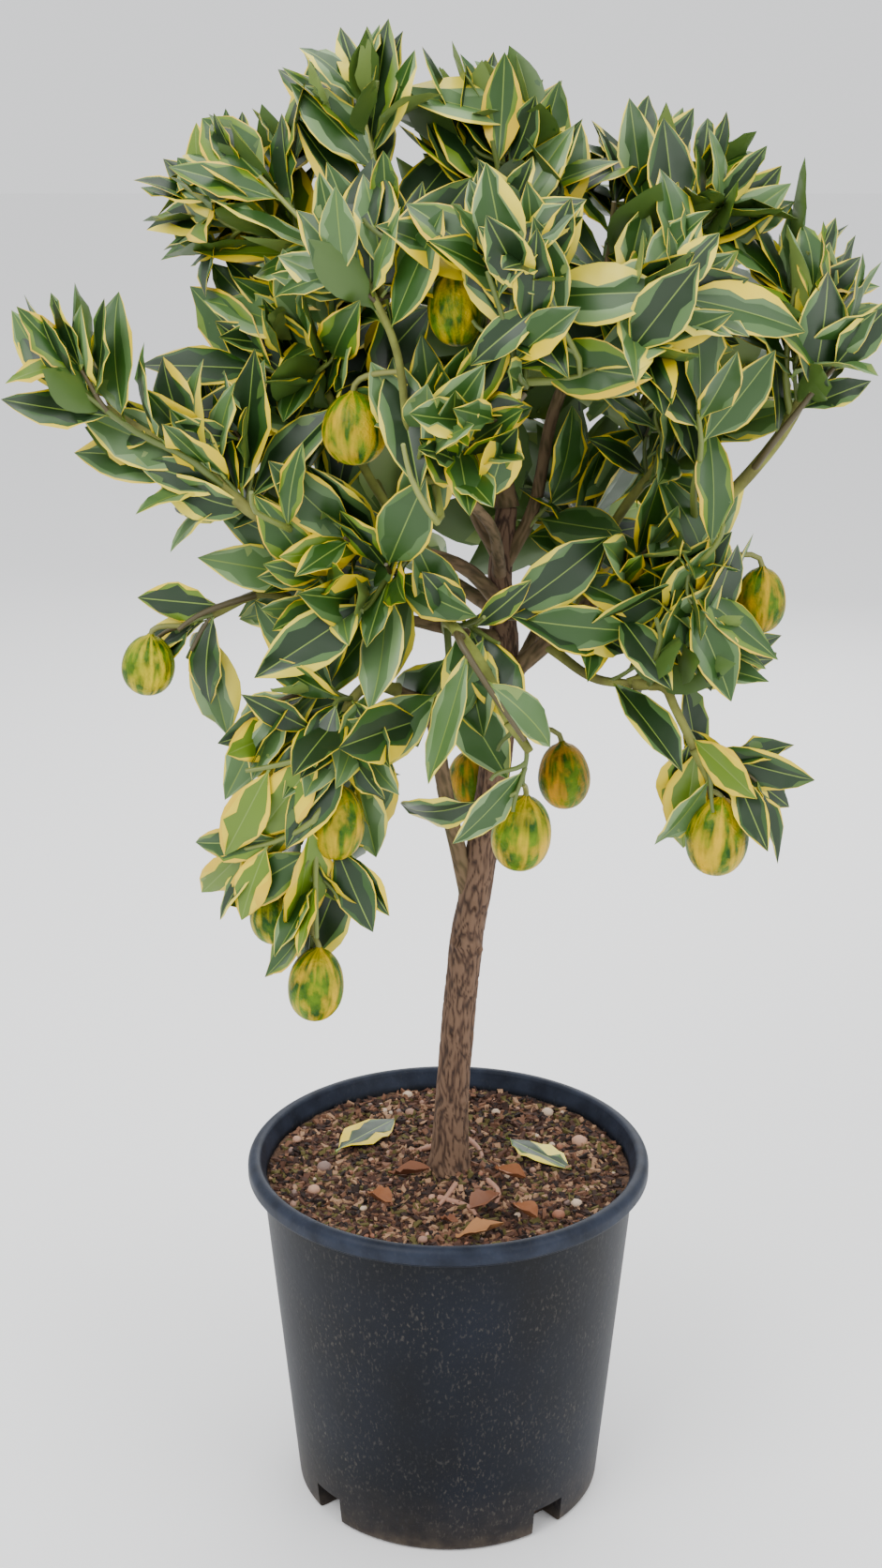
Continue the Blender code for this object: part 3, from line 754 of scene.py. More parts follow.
def add_limb(name, sides, step, young, knots=()):
    """Adds one limb to the bark: a cylinder cut into rings and wrapped round the limb's line."""
    line, radius = lines[name], radii[name]
    along = lengths_along(line)
    axes = cross_axes(line)
    made_before = len(bark_form.verts)
    tube = bmesh.ops.create_cone(bark_form, cap_ends=True, segments=sides, radius1=1.0, radius2=1.0,
                                 depth=1.0)
    upright = {edge for vertex in tube["verts"] for edge in vertex.link_edges
               if abs(edge.verts[0].co.z - edge.verts[1].co.z) > 0.5}
    rings = max(6, int(along[-1] / step))
    bmesh.ops.subdivide_edges(bark_form, edges=list(upright), cuts=rings, use_grid_fill=True)
    for vertex in list(bark_form.verts)[made_before:]:
        distance = (vertex.co.z + 0.5) * along[-1]
        spot = np.interp(distance, along, np.arange(len(line)))
        low = min(int(spot), len(line) - 2)
        part = spot - low
        centre = line[low].lerp(line[low + 1], part)
        out = axes[low][0].lerp(axes[low + 1][0], part) * vertex.co.x
        out += axes[low][1].lerp(axes[low + 1][1], part) * vertex.co.y
        out.normalize()
        size = radius[low] * (1 - part) + radius[low + 1] * part
        size *= 1.0 + COLLAR_SWELL * math.exp(-distance / COLLAR_LENGTH)
        size *= 1.0 + 0.05 * noise_at(distance * 22, out.x * 0.8, out.y * 0.8)
        flat = centre + out * size
        height = relief(out * size, distance, young)
        furrow_depth = FURROW * size / FURROW_RADIUS
        vertex.co = flat + out * (furrow_depth * (height - FURROW_LEVEL) + knot_height(flat, knots))
        vertex[furrow_layer] = height
        vertex[young_layer] = young


bark_form = bmesh.new()
furrow_layer = bark_form.verts.layers.float.new("furrow")
young_layer = bark_form.verts.layers.float.new("young")
print("helper: add_limb")

# %% Trunk, boughs and limbs
# Column and row of each knot, and its size
KNOTS = (
    (488, 1006, 0.0046), (514, 1016, 0.0040), (482, 1105, 0.0032), (497, 1180, 0.0026),
    (506, 968, 0.0030),
)
KNOT_DEPTH = -0.013
KNOT_OUT = 0.0118
OLD_BARK = 0.12
YOUNG_BARK = 0.75
INNER_BARK = 0.9

trunk_knots = []
for column, row, size in KNOTS:
    spot = seen_at(column, row, KNOT_DEPTH)
    nearest = min(lines["trunk"], key=lambda point: abs(point.z - spot.z))
    trunk_knots.append((nearest + (spot - nearest).normalized() * KNOT_OUT, size))
add_limb("trunk", 72, 0.0016, 0.0, trunk_knots)
for name in LIMBS:
    young = OLD_BARK if name.startswith("bough") else YOUNG_BARK
    add_limb(name, 20, 0.004, 1.0 if name == "limb_front_hanging" else young)
for name in INNER_LIMBS:
    add_limb(name, 12, 0.006, INNER_BARK)
bmesh.ops.recalc_face_normals(bark_form, faces=bark_form.faces)
bark_mesh = mesh_from("trunk_and_boughs", bark_form)
bark_mesh.shade_smooth()

bark = plain("bark", linear(112, 86, 68), 0.88)
furrow = add_node(bark, "ShaderNodeAttribute", attribute_name="furrow").outputs["Fac"]
youth = add_node(bark, "ShaderNodeAttribute", attribute_name="young").outputs["Fac"]
# The bark is darker where its height is low: painted shade in the furrows.
bark_with_painted_furrow_shade = ramp(bark, furrow, (0.10, (42, 30, 23)), (0.45, (78, 58, 45)), (0.85, (108, 84, 66)))
green_bark = ramp(bark, streaks(bark, 60.0), (0.35, (92, 98, 40)), (0.65, (132, 140, 62)))
colour_from(bark, mixed(bark, youth, bark_with_painted_furrow_shade, green_bark))
bump(bark, streaks(bark, 700.0, (1.0, 1.0, 0.35)), 0.5, 0.0008)
add_piece("trunk_and_boughs", bark_mesh, [bark], ["trunk", *LIMBS])

# %% [markdown]
# ## Shoots
# Green shoots carry the leaves. All of them grow from a network of points: first those of the limbs, then
# also those of each new shoot. A shoot looks for the place in it from which it can best reach its tip,
# without a sharp turn back.

# %% The network that shoots grow from
TRUNK_SHOOTS_ABOVE = 0.50

network = []
for name, line in lines.items():
    for before, point in zip(line, line[1:]):
        if point.z > TRUNK_SHOOTS_ABOVE or name != "trunk":
            network.append((point, (point - before).normalized()))
shoots = []


def add_shoot(line, thick, leaf_count, thin=0.0012, hanging=False):
    """Keeps a shoot, and lets later ones branch from it."""
    shoots.append((line, thick, thin, leaf_count, hanging))
    for before, point in zip(line[2:-1], line[3:]):
        network.append((point, (point - before).normalized()))


def carrier_of(tip):
    """The place on a limb or shoot from which a shoot would best reach its tip, and its heading there."""
    def cost(place):
        way = tip - place[0]
        reach = way.length
        too_near = 0.03 if reach < 0.025 else 0.0
        return reach * (1.5 - 0.5 * way.dot(place[1]) / max(reach, 0.001)) + too_near
    return min(network, key=cost)


def bent(start, leaving, tip, arriving):
    """A Bezier curve that leaves its carrier in one direction and arrives in another."""
    reach = (tip - start).length
    first = start + leaving * reach * 0.35
    second = tip - arriving * reach * 0.35
    line = []
    for step in range(8):
        t = step / 7
        early = start * (1 - t) ** 3 + first * 3 * t * (1 - t) ** 2
        line.append(early + second * 3 * t * t * (1 - t) + tip * t ** 3)
    return line


print(len(network), "points to grow from")

# %% [markdown]
# ### Shoots that the photograph shows
# The shoots that stand out in the photograph are placed by its pixels: a path to the tip, with a depth at
# both ends that is estimated from what lies before and behind.

# %% Shown shoots
SHOWN_SHOOTS = (
    # column and row of three points, then the depth of the start and of the tip, then the number of leaves
    (((414, 258), (402, 190), (385, 112)), -0.03, -0.03, 10),
    (((402, 336), (348, 264), (277, 188)), -0.08, -0.04, 12),
    (((470, 560), (441, 516), (430, 474)), -0.13, -0.16, 9),
    (((200, 488), (144, 460), (84, 415)), -0.10, -0.10, 11),
    (((300, 560), (272, 545), (268, 525)), -0.11, -0.13, 6),
    (((230, 648), (205, 660), (190, 672)), -0.07, -0.08, 6),
    (((337, 900), (337, 960), (338, 1000)), -0.11, -0.11, 6),
    (((345, 800), (300, 815), (262, 822)), -0.12, -0.12, 7),
    (((340, 870), (300, 895), (262, 905)), -0.12, -0.11, 7),
    (((828, 468), (866, 420), (890, 392)), -0.07, -0.08, 8),
    (((838, 400), (846, 320), (862, 268)), -0.06, -0.06, 9),
    (((655, 330), (650, 270), (655, 215)), -0.06, -0.07, 9),
    (((720, 290), (735, 230), (745, 190)), -0.04, -0.04, 8),
    (((545, 260), (535, 200), (525, 150)), -0.03, -0.04, 8),
    (((590, 250), (596, 190), (600, 140)), -0.01, -0.01, 8),
    (((746, 800), (755, 806), (764, 812)), -0.07, -0.07, 6),
    (((478, 712), (462, 752), (444, 796)), -0.07, -0.09, 7),
    (((488, 679), (515, 724), (560, 790)), -0.13, -0.15, 6),
    (((770, 680), (800, 690), (828, 698)), -0.07, -0.07, 5),
    (((700, 700), (705, 680), (700, 660)), -0.09, -0.11, 8),
    (((740, 600), (765, 580), (772, 560)), -0.08, -0.10, 7),
    (((740, 520), (748, 480), (745, 440)), -0.07, -0.10, 8),
    (((560, 420), (540, 350), (520, 290)), -0.13, -0.16, 9),
    (((620, 400), (600, 350), (585, 320)), -0.13, -0.15, 8),
)
HANGING_BELOW = 0.62

for path, start_depth, tip_depth, leaf_count in SHOWN_SHOOTS:
    depths = np.linspace(start_depth, tip_depth, len(path))
    points = [seen_at(*pixel, depth) for pixel, depth in zip(path, depths)]
    root, _ = carrier_of(points[0])
    add_shoot(smooth_line([root, *points], 4), 0.0026, leaf_count, 0.0014, points[-1].z < HANGING_BELOW)
print(len(shoots), "shown shoots")

# %% [markdown]
# ### Shoots that grow by rule
# The rest of the crown grows by a seeded rule. In the space of each mass of foliage some tips are spread
# evenly round its middle, by the golden angle. The tips nearest to the limbs come first, so that the
# outer ones branch from the shoots of the inner ones. The shoots rise, or hang where the mass does.

# %% Grown shoots
SHOOT_SPACING = 0.0325
TIPS_PER_CELL = 1.9
GOLDEN_TURN = 2.39996
CROWN_MIDDLE = Vector((0.01, -0.01, 0.76))
RISE = 0.75
SAG = -0.55

dice = random.Random(5)
masses = {}
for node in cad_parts:
    if node.startswith("foliage"):
        low, high = (Vector(corner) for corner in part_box(node))
        masses[node] = ((low + high) / 2, (high - low) / 2)

wanted = []
for number, (node, (centre, half)) in enumerate(masses.items()):
    tips = max(5, round(half.x * half.y * half.z / SHOOT_SPACING ** 3 * TIPS_PER_CELL))
    for index in range(tips):
        height = 1 - 2 * (index + 0.5) / tips
        heading = index * GOLDEN_TURN + number
        ring = math.sqrt(1 - height * height)
        way = Vector((ring * math.cos(heading), ring * math.sin(heading), height))
        share = dice.uniform(0.25, 0.72)
        tip = centre + Vector([share * w * max(h - 0.008, 0.01) for w, h in zip(way, half)])
        wanted.append((tip, node))
wanted.sort(key=lambda item: min((item[0] - place).length for place, _ in network))

for tip, node in wanted:
    root, heading = carrier_of(tip)
    towards = (tip - root).normalized()
    hanging = "hanging" in node or "left_fruit" in node
    pull = Vector((0, 0, SAG if hanging else RISE))
    arriving = ((tip - CROWN_MIDDLE).normalized() * 0.6 + pull + towards * 0.9).normalized()
    leaving = (heading * 0.7 + towards).normalized()
    thick = min(0.0028, 0.0013 + (tip - root).length * 0.016)
    add_shoot(bent(root, leaving, tip, arriving), thick, dice.randint(4, 6), hanging=hanging)
print(len(wanted), "grown shoots")

# %% [markdown]
# ### Stems
# A stem is a thin tube of nine rings. A curve object with a bevel would do for one, but hundreds of them
# are one mesh from arrays here, with the young green and the older brown dealt out by shoot.

# %% Stems as one mesh
STEM_SIDES = 7
STEM_RINGS = 9
STEM_TINTS = (84, 98, 44), (104, 116, 52), (132, 140, 70), (74, 66, 40)
FRESH_STEMS = 3


def tube_faces():
    """The faces of a tube of rings, with both ends closed."""
    faces = [tuple(range(STEM_SIDES))[::-1]]
    for ring in range(0, (STEM_RINGS - 1) * STEM_SIDES, STEM_SIDES):
        for side in range(STEM_SIDES):
            after = (side + 1) % STEM_SIDES
            faces.append((ring + side, ring + after, ring + STEM_SIDES + after, ring + STEM_SIDES + side))
    return [*faces, tuple(range((STEM_RINGS - 1) * STEM_SIDES, STEM_RINGS * STEM_SIDES))]


def tubes(stems):
    """Rings of points round each stem, as one array. A stem is a line and its radii at both ends."""
    placed = np.zeros((len(stems), STEM_RINGS * STEM_SIDES, 3))
    around = np.arange(STEM_SIDES) * math.tau / STEM_SIDES
    for number, (line, thick, thin) in enumerate(stems):
        along = lengths_along(line)
        at = np.linspace(0, along[-1], STEM_RINGS)
        centre = np.stack([np.interp(at, along, places) for places in zip(*line)], axis=1)
        tangent = np.gradient(centre, axis=0)
        tangent /= np.linalg.norm(tangent, axis=1)[:, None]
        guide = np.array([0.9, 0.1, 0.2]) if abs(tangent[0, 0]) < 0.7 else np.array([0.1, 0.9, 0.2])
        side = np.cross(tangent, guide)
        side /= np.linalg.norm(side, axis=1)[:, None]
        other = np.cross(tangent, side)
        size = np.linspace(thick, thin, STEM_RINGS)[:, None, None]
        ring = np.cos(around)[None, :, None] * side[:, None]
        ring = ring + np.sin(around)[None, :, None] * other[:, None]
        placed[number] = (centre[:, None] + ring * size).reshape(-1, 3)
    return placed


def add_stems(name, stems, looks, finishes):
    """A piece of many stems, with the finish of each stem."""
    faces = tube_faces()
    add_piece(name, joined_mesh(name, tubes(stems), faces, same_look(looks, faces)), finishes)


stem_looks = [2 if number < FRESH_STEMS else dice.choice((0, 0, 1, 1, 3)) for number in range(len(shoots))]
add_stems("green_shoots", [shoot[:3] for shoot in shoots], stem_looks, tinted("stem", STEM_TINTS, 0.5))

# %% [markdown]
# ## Fruit
# The fruit are egg-shaped with a short neck, and yellow and green in broken stripes from neck to tip. One
# spun profile serves for all, with small lumps of their own. A UV map gives each point its meridian and
# its height, so that the stripes can be noise that is drawn out along the meridians.

# %% Where the fruit hang
FRUITS = (
    # column and row of the middle, depth, width and height in millimetres, tint from yellow 0 to orange 1
    (483, 330, -0.115, 35, 43, 0.35), (377, 457, -0.105, 41, 42, 0.5), (162, 709, -0.070, 35, 38, 0.15),
    (363, 876, -0.100, 36, 47, 0.5), (291, 976, -0.090, 35, 38, 0.2), (341, 1049, -0.105, 38, 48, 0.45),
    (500, 835, 0.020, 36, 44, 0.8), (561, 890, -0.110, 40, 49, 0.45), (599, 826, 0.010, 37, 45, 0.9),
    (768, 893, -0.075, 43, 52, 0.45), (812, 640, -0.040, 34, 42, 0.6),
)
BACK_FRUITS = (((-0.075, 0.150, 0.700), 36, 45, 0.5), ((0.120, 0.150, 0.640), 38, 47, 0.7),
               ((0.035, 0.190, 0.730), 36, 44, 0.2), ((-0.110, 0.120, 0.790), 34, 42, 0.4))
FRUIT_STEPS = 22
FRUIT_SEGMENTS = 40

fruits = [(seen_at(column, row, depth), wide / 1000, tall / 1000, tint)
          for column, row, depth, wide, tall, tint in FRUITS]
fruits += [(Vector(place), wide / 1000, tall / 1000, tint) for place, wide, tall, tint in BACK_FRUITS]


def fruit_profile():
    """The outline of a fruit of unit width and height, from its foot to the top of its neck."""
    points = [(0.0, -0.5), (0.012, -0.502)]
    for step in range(1, FRUIT_STEPS - 1):
        turn = math.pi * step / FRUIT_STEPS
        radius = 0.5 * math.sin(turn) ** 0.94 * (1.0 - 0.13 * (1 - math.cos(turn)) / 2)
        points.append((radius * (1.0 if step < 20 else 0.9), -0.5 * math.cos(turn)))
    return points + [(0.075, 0.50), (0.055, 0.525), (0.0, 0.53)]


print(len(fruits), "fruit")

# %% Fruit and their stalks
STALK_RADII = (0.0017, 0.0019)
FRUIT_LEAN = 0.12


def meridian(x, y, middle):
    """The turn of a point about the axis, kept within half a turn of the middle of its face."""
    face_turn = math.atan2(middle.y, middle.x)
    turn = math.atan2(y, x) if abs(x) + abs(y) > 0.0005 else face_turn
    if turn - face_turn > math.pi:
        turn -= math.tau
    if face_turn - turn > math.pi:
        turn += math.tau
    return turn / math.tau


fruit_form = spun("fruit_form", fruit_profile(), FRUIT_SEGMENTS)
fruit_bm = bmesh.new()
tint_layer = fruit_bm.verts.layers.float.new("tint")
uv_layer = fruit_bm.loops.layers.uv.new("UVMap")
stalks = []
for number, (place, wide, tall, tint) in enumerate(fruits):
    to_top = Vector((0, 0, tall * 0.5))
    stalk_top = place + to_top
    root = min((spot for spot, _ in network if spot.z > stalk_top.z + 0.004),
               key=lambda spot: (spot - stalk_top).length)
    leaving = Vector((0, 0, 0.2)) + (stalk_top - root).normalized() * 0.8
    stalks.append((bent(root, leaving, stalk_top, Vector((0, 0, -1))), *STALK_RADII))
    copy = fruit_form.copy()
    for vertex in copy.vertices:
        lumps = 1.0 + 0.02 * noise.noise(vertex.co * 3 + Vector((number * 5, 0, 0)))
        x, y, z = vertex.co
        vertex.co = (x * wide * lumps, y * wide * lumps, z * tall)
    made_before = len(fruit_bm.verts)
    fruit_bm.from_mesh(copy)
    bpy.data.meshes.remove(copy)
    own_points = list(fruit_bm.verts)[made_before:]
    for vertex in own_points:
        x, y, z = vertex.co
        for loop in vertex.link_loops:
            around = meridian(x, y, loop.face.calc_center_median())
            loop[uv_layer].uv = (around + number * 3.7, z / tall + 0.5)
        vertex[tint_layer] = tint
    # One draw is passed over here, which keeps all later leaves as they are
    dice.random()
    lean = Vector([dice.uniform(-FRUIT_LEAN, FRUIT_LEAN) for _ in range(2)] + [1.0]).normalized()
    rotation = Vector((0, 0, 1)).rotation_difference(lean).to_matrix()
    for vertex in own_points:
        vertex.co = stalk_top + rotation @ (vertex.co - to_top)
fruit_mesh = mesh_from("fruit", fruit_bm)
fruit_mesh.shade_smooth()
print("stalks up to", round(max(lengths_along(stalk[0])[-1] for stalk in stalks), 3), "m long")

# %% The peel
peel = plain("peel", linear(190, 176, 40), 0.45, specular=0.2)
yellow = ramp(peel, streaks(peel, 40.0), (0.35, (150, 166, 0)), (0.65, (212, 190, 0)))
orange = ramp(peel, streaks(peel, 40.0), (0.35, (186, 126, 0)), (0.65, (212, 140, 0)))
ripeness = add_node(peel, "ShaderNodeAttribute", attribute_name="tint").outputs["Fac"]
ground = mixed(peel, ripeness, yellow, orange)
stripes = ramp(peel, streaks(peel, 15.0, (1.0, 0.09, 1.0), 2.0, "UV"), (0.36, 0.10), (0.54, 1.0))
broken = ramp(peel, streaks(peel, 130.0, (1.0, 1.0, 0.6), 4.0), (0.30, 0.35), (0.52, 1.0))
green = ramp(peel, streaks(peel, 90.0), (0.35, (26, 66, 2)), (0.65, (92, 122, 0)))
colour_from(peel, mixed(peel, stripes, ground, mixed(peel, broken, ground, green)))
bump(peel, streaks(peel, 620.0, detail=2.0), 0.55, 0.0012)
add_piece("fruit", fruit_mesh, [peel])
add_stems("fruit_stalks", stalks, [0] * len(stalks), [plain("stalk", linear(116, 118, 60), 0.6)])

# %% [markdown]
# ## Leaves
# A leaf is a thin closed shape of 74 faces. Across its top run seven rows of them: a pale margin, a
# greyish band and the dark middle on both sides, with the midrib between them. The lines between the rows
# wander, which draws the jagged border of a variegated leaf. A picture on each leaf could show it too, but
# it would need a map for over a thousand leaves, where rows of faces need only plain finishes.

# %% The leaf's faces
STATIONS = np.array([0.0, 0.07, 0.16, 0.27, 0.38, 0.50, 0.62, 0.74, 0.87])
PETIOLE = 0.07
LINES_ACROSS = 8
UNDER_STATIONS = (0, 2, 4, 6, 8)
TIP = len(STATIONS) * LINES_ACROSS
UNDERSIDE = 7
STALK = 8


def leaf_faces():
    """Faces of one leaf, with the row that each belongs to: 0 to 6 on top, then underside and stalk."""
    faces = []
    rows = []
    for station in range(len(STATIONS) - 1):
        for row in range(LINES_ACROSS - 1):
            first = station * LINES_ACROSS + row
            faces.append((first, first + 1, first + 1 + LINES_ACROSS, first + LINES_ACROSS))
            rows.append(row if station > 0 else STALK)
    last = (len(STATIONS) - 1) * LINES_ACROSS
    for row in range(LINES_ACROSS - 1):
        faces.append((last + row, last + row + 1, TIP))
        rows.append(row)
    for number, (start, end) in enumerate(zip(UNDER_STATIONS, UNDER_STATIONS[1:])):
        low, high = TIP + 1 + number, TIP + 2 + number
        left = [station * LINES_ACROSS for station in range(start, end + 1)]
        right = [point + LINES_ACROSS - 1 for point in left]
        faces.append((*left, high, low))
        faces.append((*right[::-1], low, high))
        rows += [UNDERSIDE, UNDERSIDE]
    under = TIP + len(UNDER_STATIONS)
    faces.append((last, TIP, under))
    faces.append((last + LINES_ACROSS - 1, under, TIP))
    faces.append((*range(LINES_ACROSS - 1, -1, -1), TIP + 1))
    return faces, np.array(rows + [UNDERSIDE, UNDERSIDE, STALK])


LEAF_FACES, FACE_ROWS = leaf_faces()
print(len(LEAF_FACES), "faces in a leaf")

# %% [markdown]
# ### The borders between the colours
# The margin is narrow, with a wide patch on some sides of some leaves. The band inside it ends at
# random. Both are a share of the leaf's half width, worked out for all leaves at once.

# %% Borders and points of all leaves
PETIOLE_HALF = 0.0010
RIB_HALF = 0.00038
LEAF_THICKNESS = 0.0007
EDGE_WAVE = 0.0011
THINNEST_MARGIN = 0.028
WIDEST_MARGIN = 0.93
blade = np.clip((STATIONS - PETIOLE) / (1 - PETIOLE), 0, 1)
OUTLINE = np.sin(np.pi * blade ** 0.92) ** 0.98
leaf_dice = np.random.default_rng(21)


def unit(vectors):
    """Vectors of length 1, along the last axis of an array."""
    return vectors / np.maximum(np.linalg.norm(vectors, axis=-1, keepdims=True), 1e-9)


def borders(count, wild):
    """How far the margin and the band reach in, by leaf, side and station. wild is the chance of a patch."""
    each_side = (count, 2, 1)
    each_point = (count, 2, len(STATIONS))
    thin = leaf_dice.uniform(THINNEST_MARGIN, 0.07, each_side)
    thin = thin + leaf_dice.uniform(0, 1, each_point) ** 4 * 0.22
    middle = leaf_dice.uniform(0.15, 0.95, each_side)
    spread = leaf_dice.uniform(0.12, 0.38, each_side)
    depth = leaf_dice.uniform(0.35, 0.92, each_side)
    depth = depth * (leaf_dice.uniform(0, 1, each_side) < wild[:, None, None])
    patch = depth * np.exp(-((STATIONS - middle) / spread) ** 2)
    patch = patch * leaf_dice.uniform(0.55, 1.0, each_point)
    margin = 1 - np.clip(np.maximum(thin, patch), THINNEST_MARGIN, WIDEST_MARGIN)
    band = margin - leaf_dice.uniform(0.02, 0.5, each_point) * margin
    return margin, band


def leaf_places(base, along, face, length, width, bend, fold, wild):
    """Points of all leaves. along is each leaf's direction at its base, and face the way its top looks."""
    count = len(base)
    along = unit(along)
    face = unit(face - along * (face * along).sum(1, keepdims=True))
    side = np.cross(along, face)
    margin, band = borders(count, wild)
    half = np.maximum(PETIOLE_HALF, width[:, None] / 2 * OUTLINE)
    rib = np.minimum(RIB_HALF / half, 0.4)
    margin = np.maximum(margin, rib[:, None] + 0.04)
    band = np.maximum(band, rib[:, None] + 0.02)
    edge = np.ones_like(half)
    shares = np.stack([-edge, -margin[:, 0], -band[:, 0], -rib, rib, band[:, 1], margin[:, 1], edge], axis=2)
    across = shares * half[:, :, None]
    wave = leaf_dice.normal(0, EDGE_WAVE, (count, len(STATIONS), 2))
    rise = np.abs(across) * np.tan(fold)[:, None, None]
    rise = rise + half[:, :, None] * 0.14 * np.sin(np.pi * np.abs(shares))
    rise[:, :, :2] += wave[:, :, :1]
    rise[:, :, 6:] += wave[:, :, 1:]
    safe = np.where(np.abs(bend) < 0.02, 0.02, bend)[:, None]
    stops = np.append(STATIONS, 1.0)
    forward = length[:, None] * np.sin(safe * stops) / safe
    drop = length[:, None] * (1 - np.cos(safe * stops)) / safe
    spine = base[:, None] + forward[..., None] * along[:, None] - drop[..., None] * face[:, None]
    centre, tip = spine[:, :-1], spine[:, -1:]
    turned = bend[:, None] * STATIONS
    top_way = np.sin(turned)[..., None] * along[:, None] + np.cos(turned)[..., None] * face[:, None]
    top = centre[:, :, None] + across[..., None] * side[:, None, None]
    top = top + rise[..., None] * top_way[:, :, None]
    under = (centre - LEAF_THICKNESS * top_way)[:, list(UNDER_STATIONS)]
    return np.concatenate([top.reshape(count, -1, 3), tip, under], axis=1)


print("widest at", STATIONS[OUTLINE.argmax()], "of the length")

# %% [markdown]
# ### Kinds of leaf
# Leaves differ in their tints from spray to spray: a cream or yellow margin, a grey or fresh green band
# or a band of painted sheen, and a middle that is green or nearly black. Each kind deals its tints out to
# the rows of faces.

# %% Tints of the leaves
# The sheen tint is a painted sheen: a pale reflection laid into the band as a plain colour.
LEAF_TINTS = {
    "deep": (27, 50, 19), "green": (44, 76, 25), "grey": (76, 106, 57), "sheen": (108, 136, 86),
    "fresh": (92, 120, 24), "cream": (226, 208, 60), "butter": (224, 196, 16), "yellow": (216, 180, 0),
    "rib": (112, 136, 56), "under": (72, 98, 42), "under_pale": (114, 136, 70), "stalk": (116, 134, 50),
}
# Where a kind's band is sheen, that band is a painted sheen.
# Margin, band, middle and underside of each kind, and how often it grows
LEAF_KINDS = (
    ("cream", "grey", "deep", "under", 5), ("butter", "grey", "green", "under", 5),
    ("cream", "sheen", "grey", "under_pale", 4), ("butter", "green", "deep", "under", 4),
    ("yellow", "fresh", "green", "under", 3), ("cream", "sheen", "green", "under_pale", 3),
    ("butter", "fresh", "deep", "under", 2), ("yellow", "butter", "fresh", "under_pale", 1),
)
leaf_finishes = [plain("leaf_" + name, linear(*tint), 0.42) for name, tint in LEAF_TINTS.items()]


def leaf_looks(kinds):
    """The finish of every face, from each leaf's kind."""
    names = list(LEAF_TINTS)
    table = []
    for margin, band, middle, under, _ in LEAF_KINDS:
        rows = (margin, band, middle, "rib", middle, band, margin, under, "stalk")
        table.append([names.index(name) for name in rows])
    return np.array(table)[kinds][:, FACE_ROWS]


print(len(LEAF_KINDS), "kinds of leaf in", len(LEAF_TINTS), "tints")

# %% [markdown]
# ### Leaves on the shoots
# Leaves spiral up a shoot by the golden angle. The lower ones stand off, and those at the tip lie closer
# to it. They look up and outward to the light. A leaf that would leave the foliage's space is shortened or
# left out. One that would pass through a fruit, or hide one that the photograph shows, is left out.

# %% One leaf
LEAF_LENGTH = 0.081
FACING_MIDDLE = Vector((0.01, 0.06, 0.72))
SAME_AS_SPRAY = 0.6
OPENING_LOW = 62
OPENING_CHANGE = 34


def drawn_kind():
    return dice.choices(range(len(LEAF_KINDS)), [kind[4] for kind in LEAF_KINDS])[0]


def inside_foliage(point, growth=0.006):
    """True if a point lies in the space of any mass, made larger by growth."""
    return any(sum(((a - b) / (c + growth)) ** 2 for a, b, c in zip(point, centre, half)) < 1.0
               for centre, half in masses.values())


def hides(point, place, wide):
    """True if a point lies before a fruit, as the camera sees it."""
    ray = (place - CAMERA_PLACE).normalized()
    offset = point - place
    near = offset.dot(ray)
    return near < 0.01 and (offset - ray * near).length < wide * 0.48


def meets_fruit(at, reach):
    """True if a leaf would pass through a fruit, or hide one that the photograph shows."""
    probes = [at + reach * share for share in (0.25, 0.5, 0.75, 1.0)]
    if any((probe - place).length < tall * 0.46 for probe in probes for place, _, tall, _ in fruits):
        return True
    return any(hides(probe, place, wide) for probe in probes for place, wide, _, _ in fruits[:len(FRUITS)])


def grown_leaf(line, share, part, around, hanging, spray_kind):
    """A leaf as a row for leaf_places, or None. part runs from 0 at the lowest leaf to 1 at the tip."""
    at = point_along(line, share)
    before, after = max(0.0, share - 0.05), min(1.0, share + 0.05)
    ahead = (point_along(line, after) - point_along(line, before)).normalized()
    one = ahead.orthogonal().normalized()
    two = ahead.cross(one)
    opening = math.radians(OPENING_LOW - OPENING_CHANGE * part + dice.uniform(-9, 9))
    way = ahead * math.cos(opening) + (one * math.cos(around) + two * math.sin(around)) * math.sin(opening)
    outward = (at - CROWN_MIDDLE).normalized()
    way = (way + outward * 0.22 + Vector((0, 0, -0.25 if hanging else 0.10))).normalized()
    shown = (at - FACING_MIDDLE).normalized()
    face = (ahead - way * ahead.dot(way)) * (-0.2 if hanging else 0.30) + Vector((0, 0, 0.40))
    face += Vector((shown.x * 0.8, shown.y * 1.2, shown.z * 0.4))
    face += Vector([dice.gauss(0, 0.28) for _ in range(3)])
    length = LEAF_LENGTH * dice.uniform(0.80, 1.14) * (0.86 if part == 1 else 1.0)
    fitting = [shrink for shrink in (1.0, 0.85, 0.7) if inside_foliage(at + way * length * shrink)]
    if not fitting:
        return None
    length *= fitting[0]
    if meets_fruit(at, way * length):
        return None
    kind = spray_kind if dice.random() < SAME_AS_SPRAY else drawn_kind()
    return (*at, *way, *face, length, length * dice.uniform(0.35, 0.46), dice.gauss(0.30, 0.40),
            dice.uniform(0.0, 0.36), 0.14 + 0.5 * dice.random() ** 2, kind)


print("leaves", LEAF_LENGTH * 1000, "mm long, more or less")

# %% All leaves
LEAFY_LENGTH = 0.105
FRONT_BEFORE = 0.03

leaf_rows = []
for number, (line, _, _, leaf_count, hanging) in enumerate(shoots):
    turn = dice.uniform(0, math.tau)
    spray_kind = drawn_kind()
    first = 0.25
    if number >= len(SHOWN_SHOOTS):
        first = max(0.15, 1 - LEAFY_LENGTH / max(lengths_along(line)[-1], 0.001))
    for index in range(leaf_count):
        part = index / (leaf_count - 1)
        share = first + (1 - first) * (1 - (1 - part) ** 1.25)
        leaf = grown_leaf(line, share, part, turn + index * GOLDEN_TURN, hanging, spray_kind)
        if leaf:
            leaf_rows.append(leaf)
leaf_table = np.array(leaf_rows)
print(len(leaf_table), "leaves")

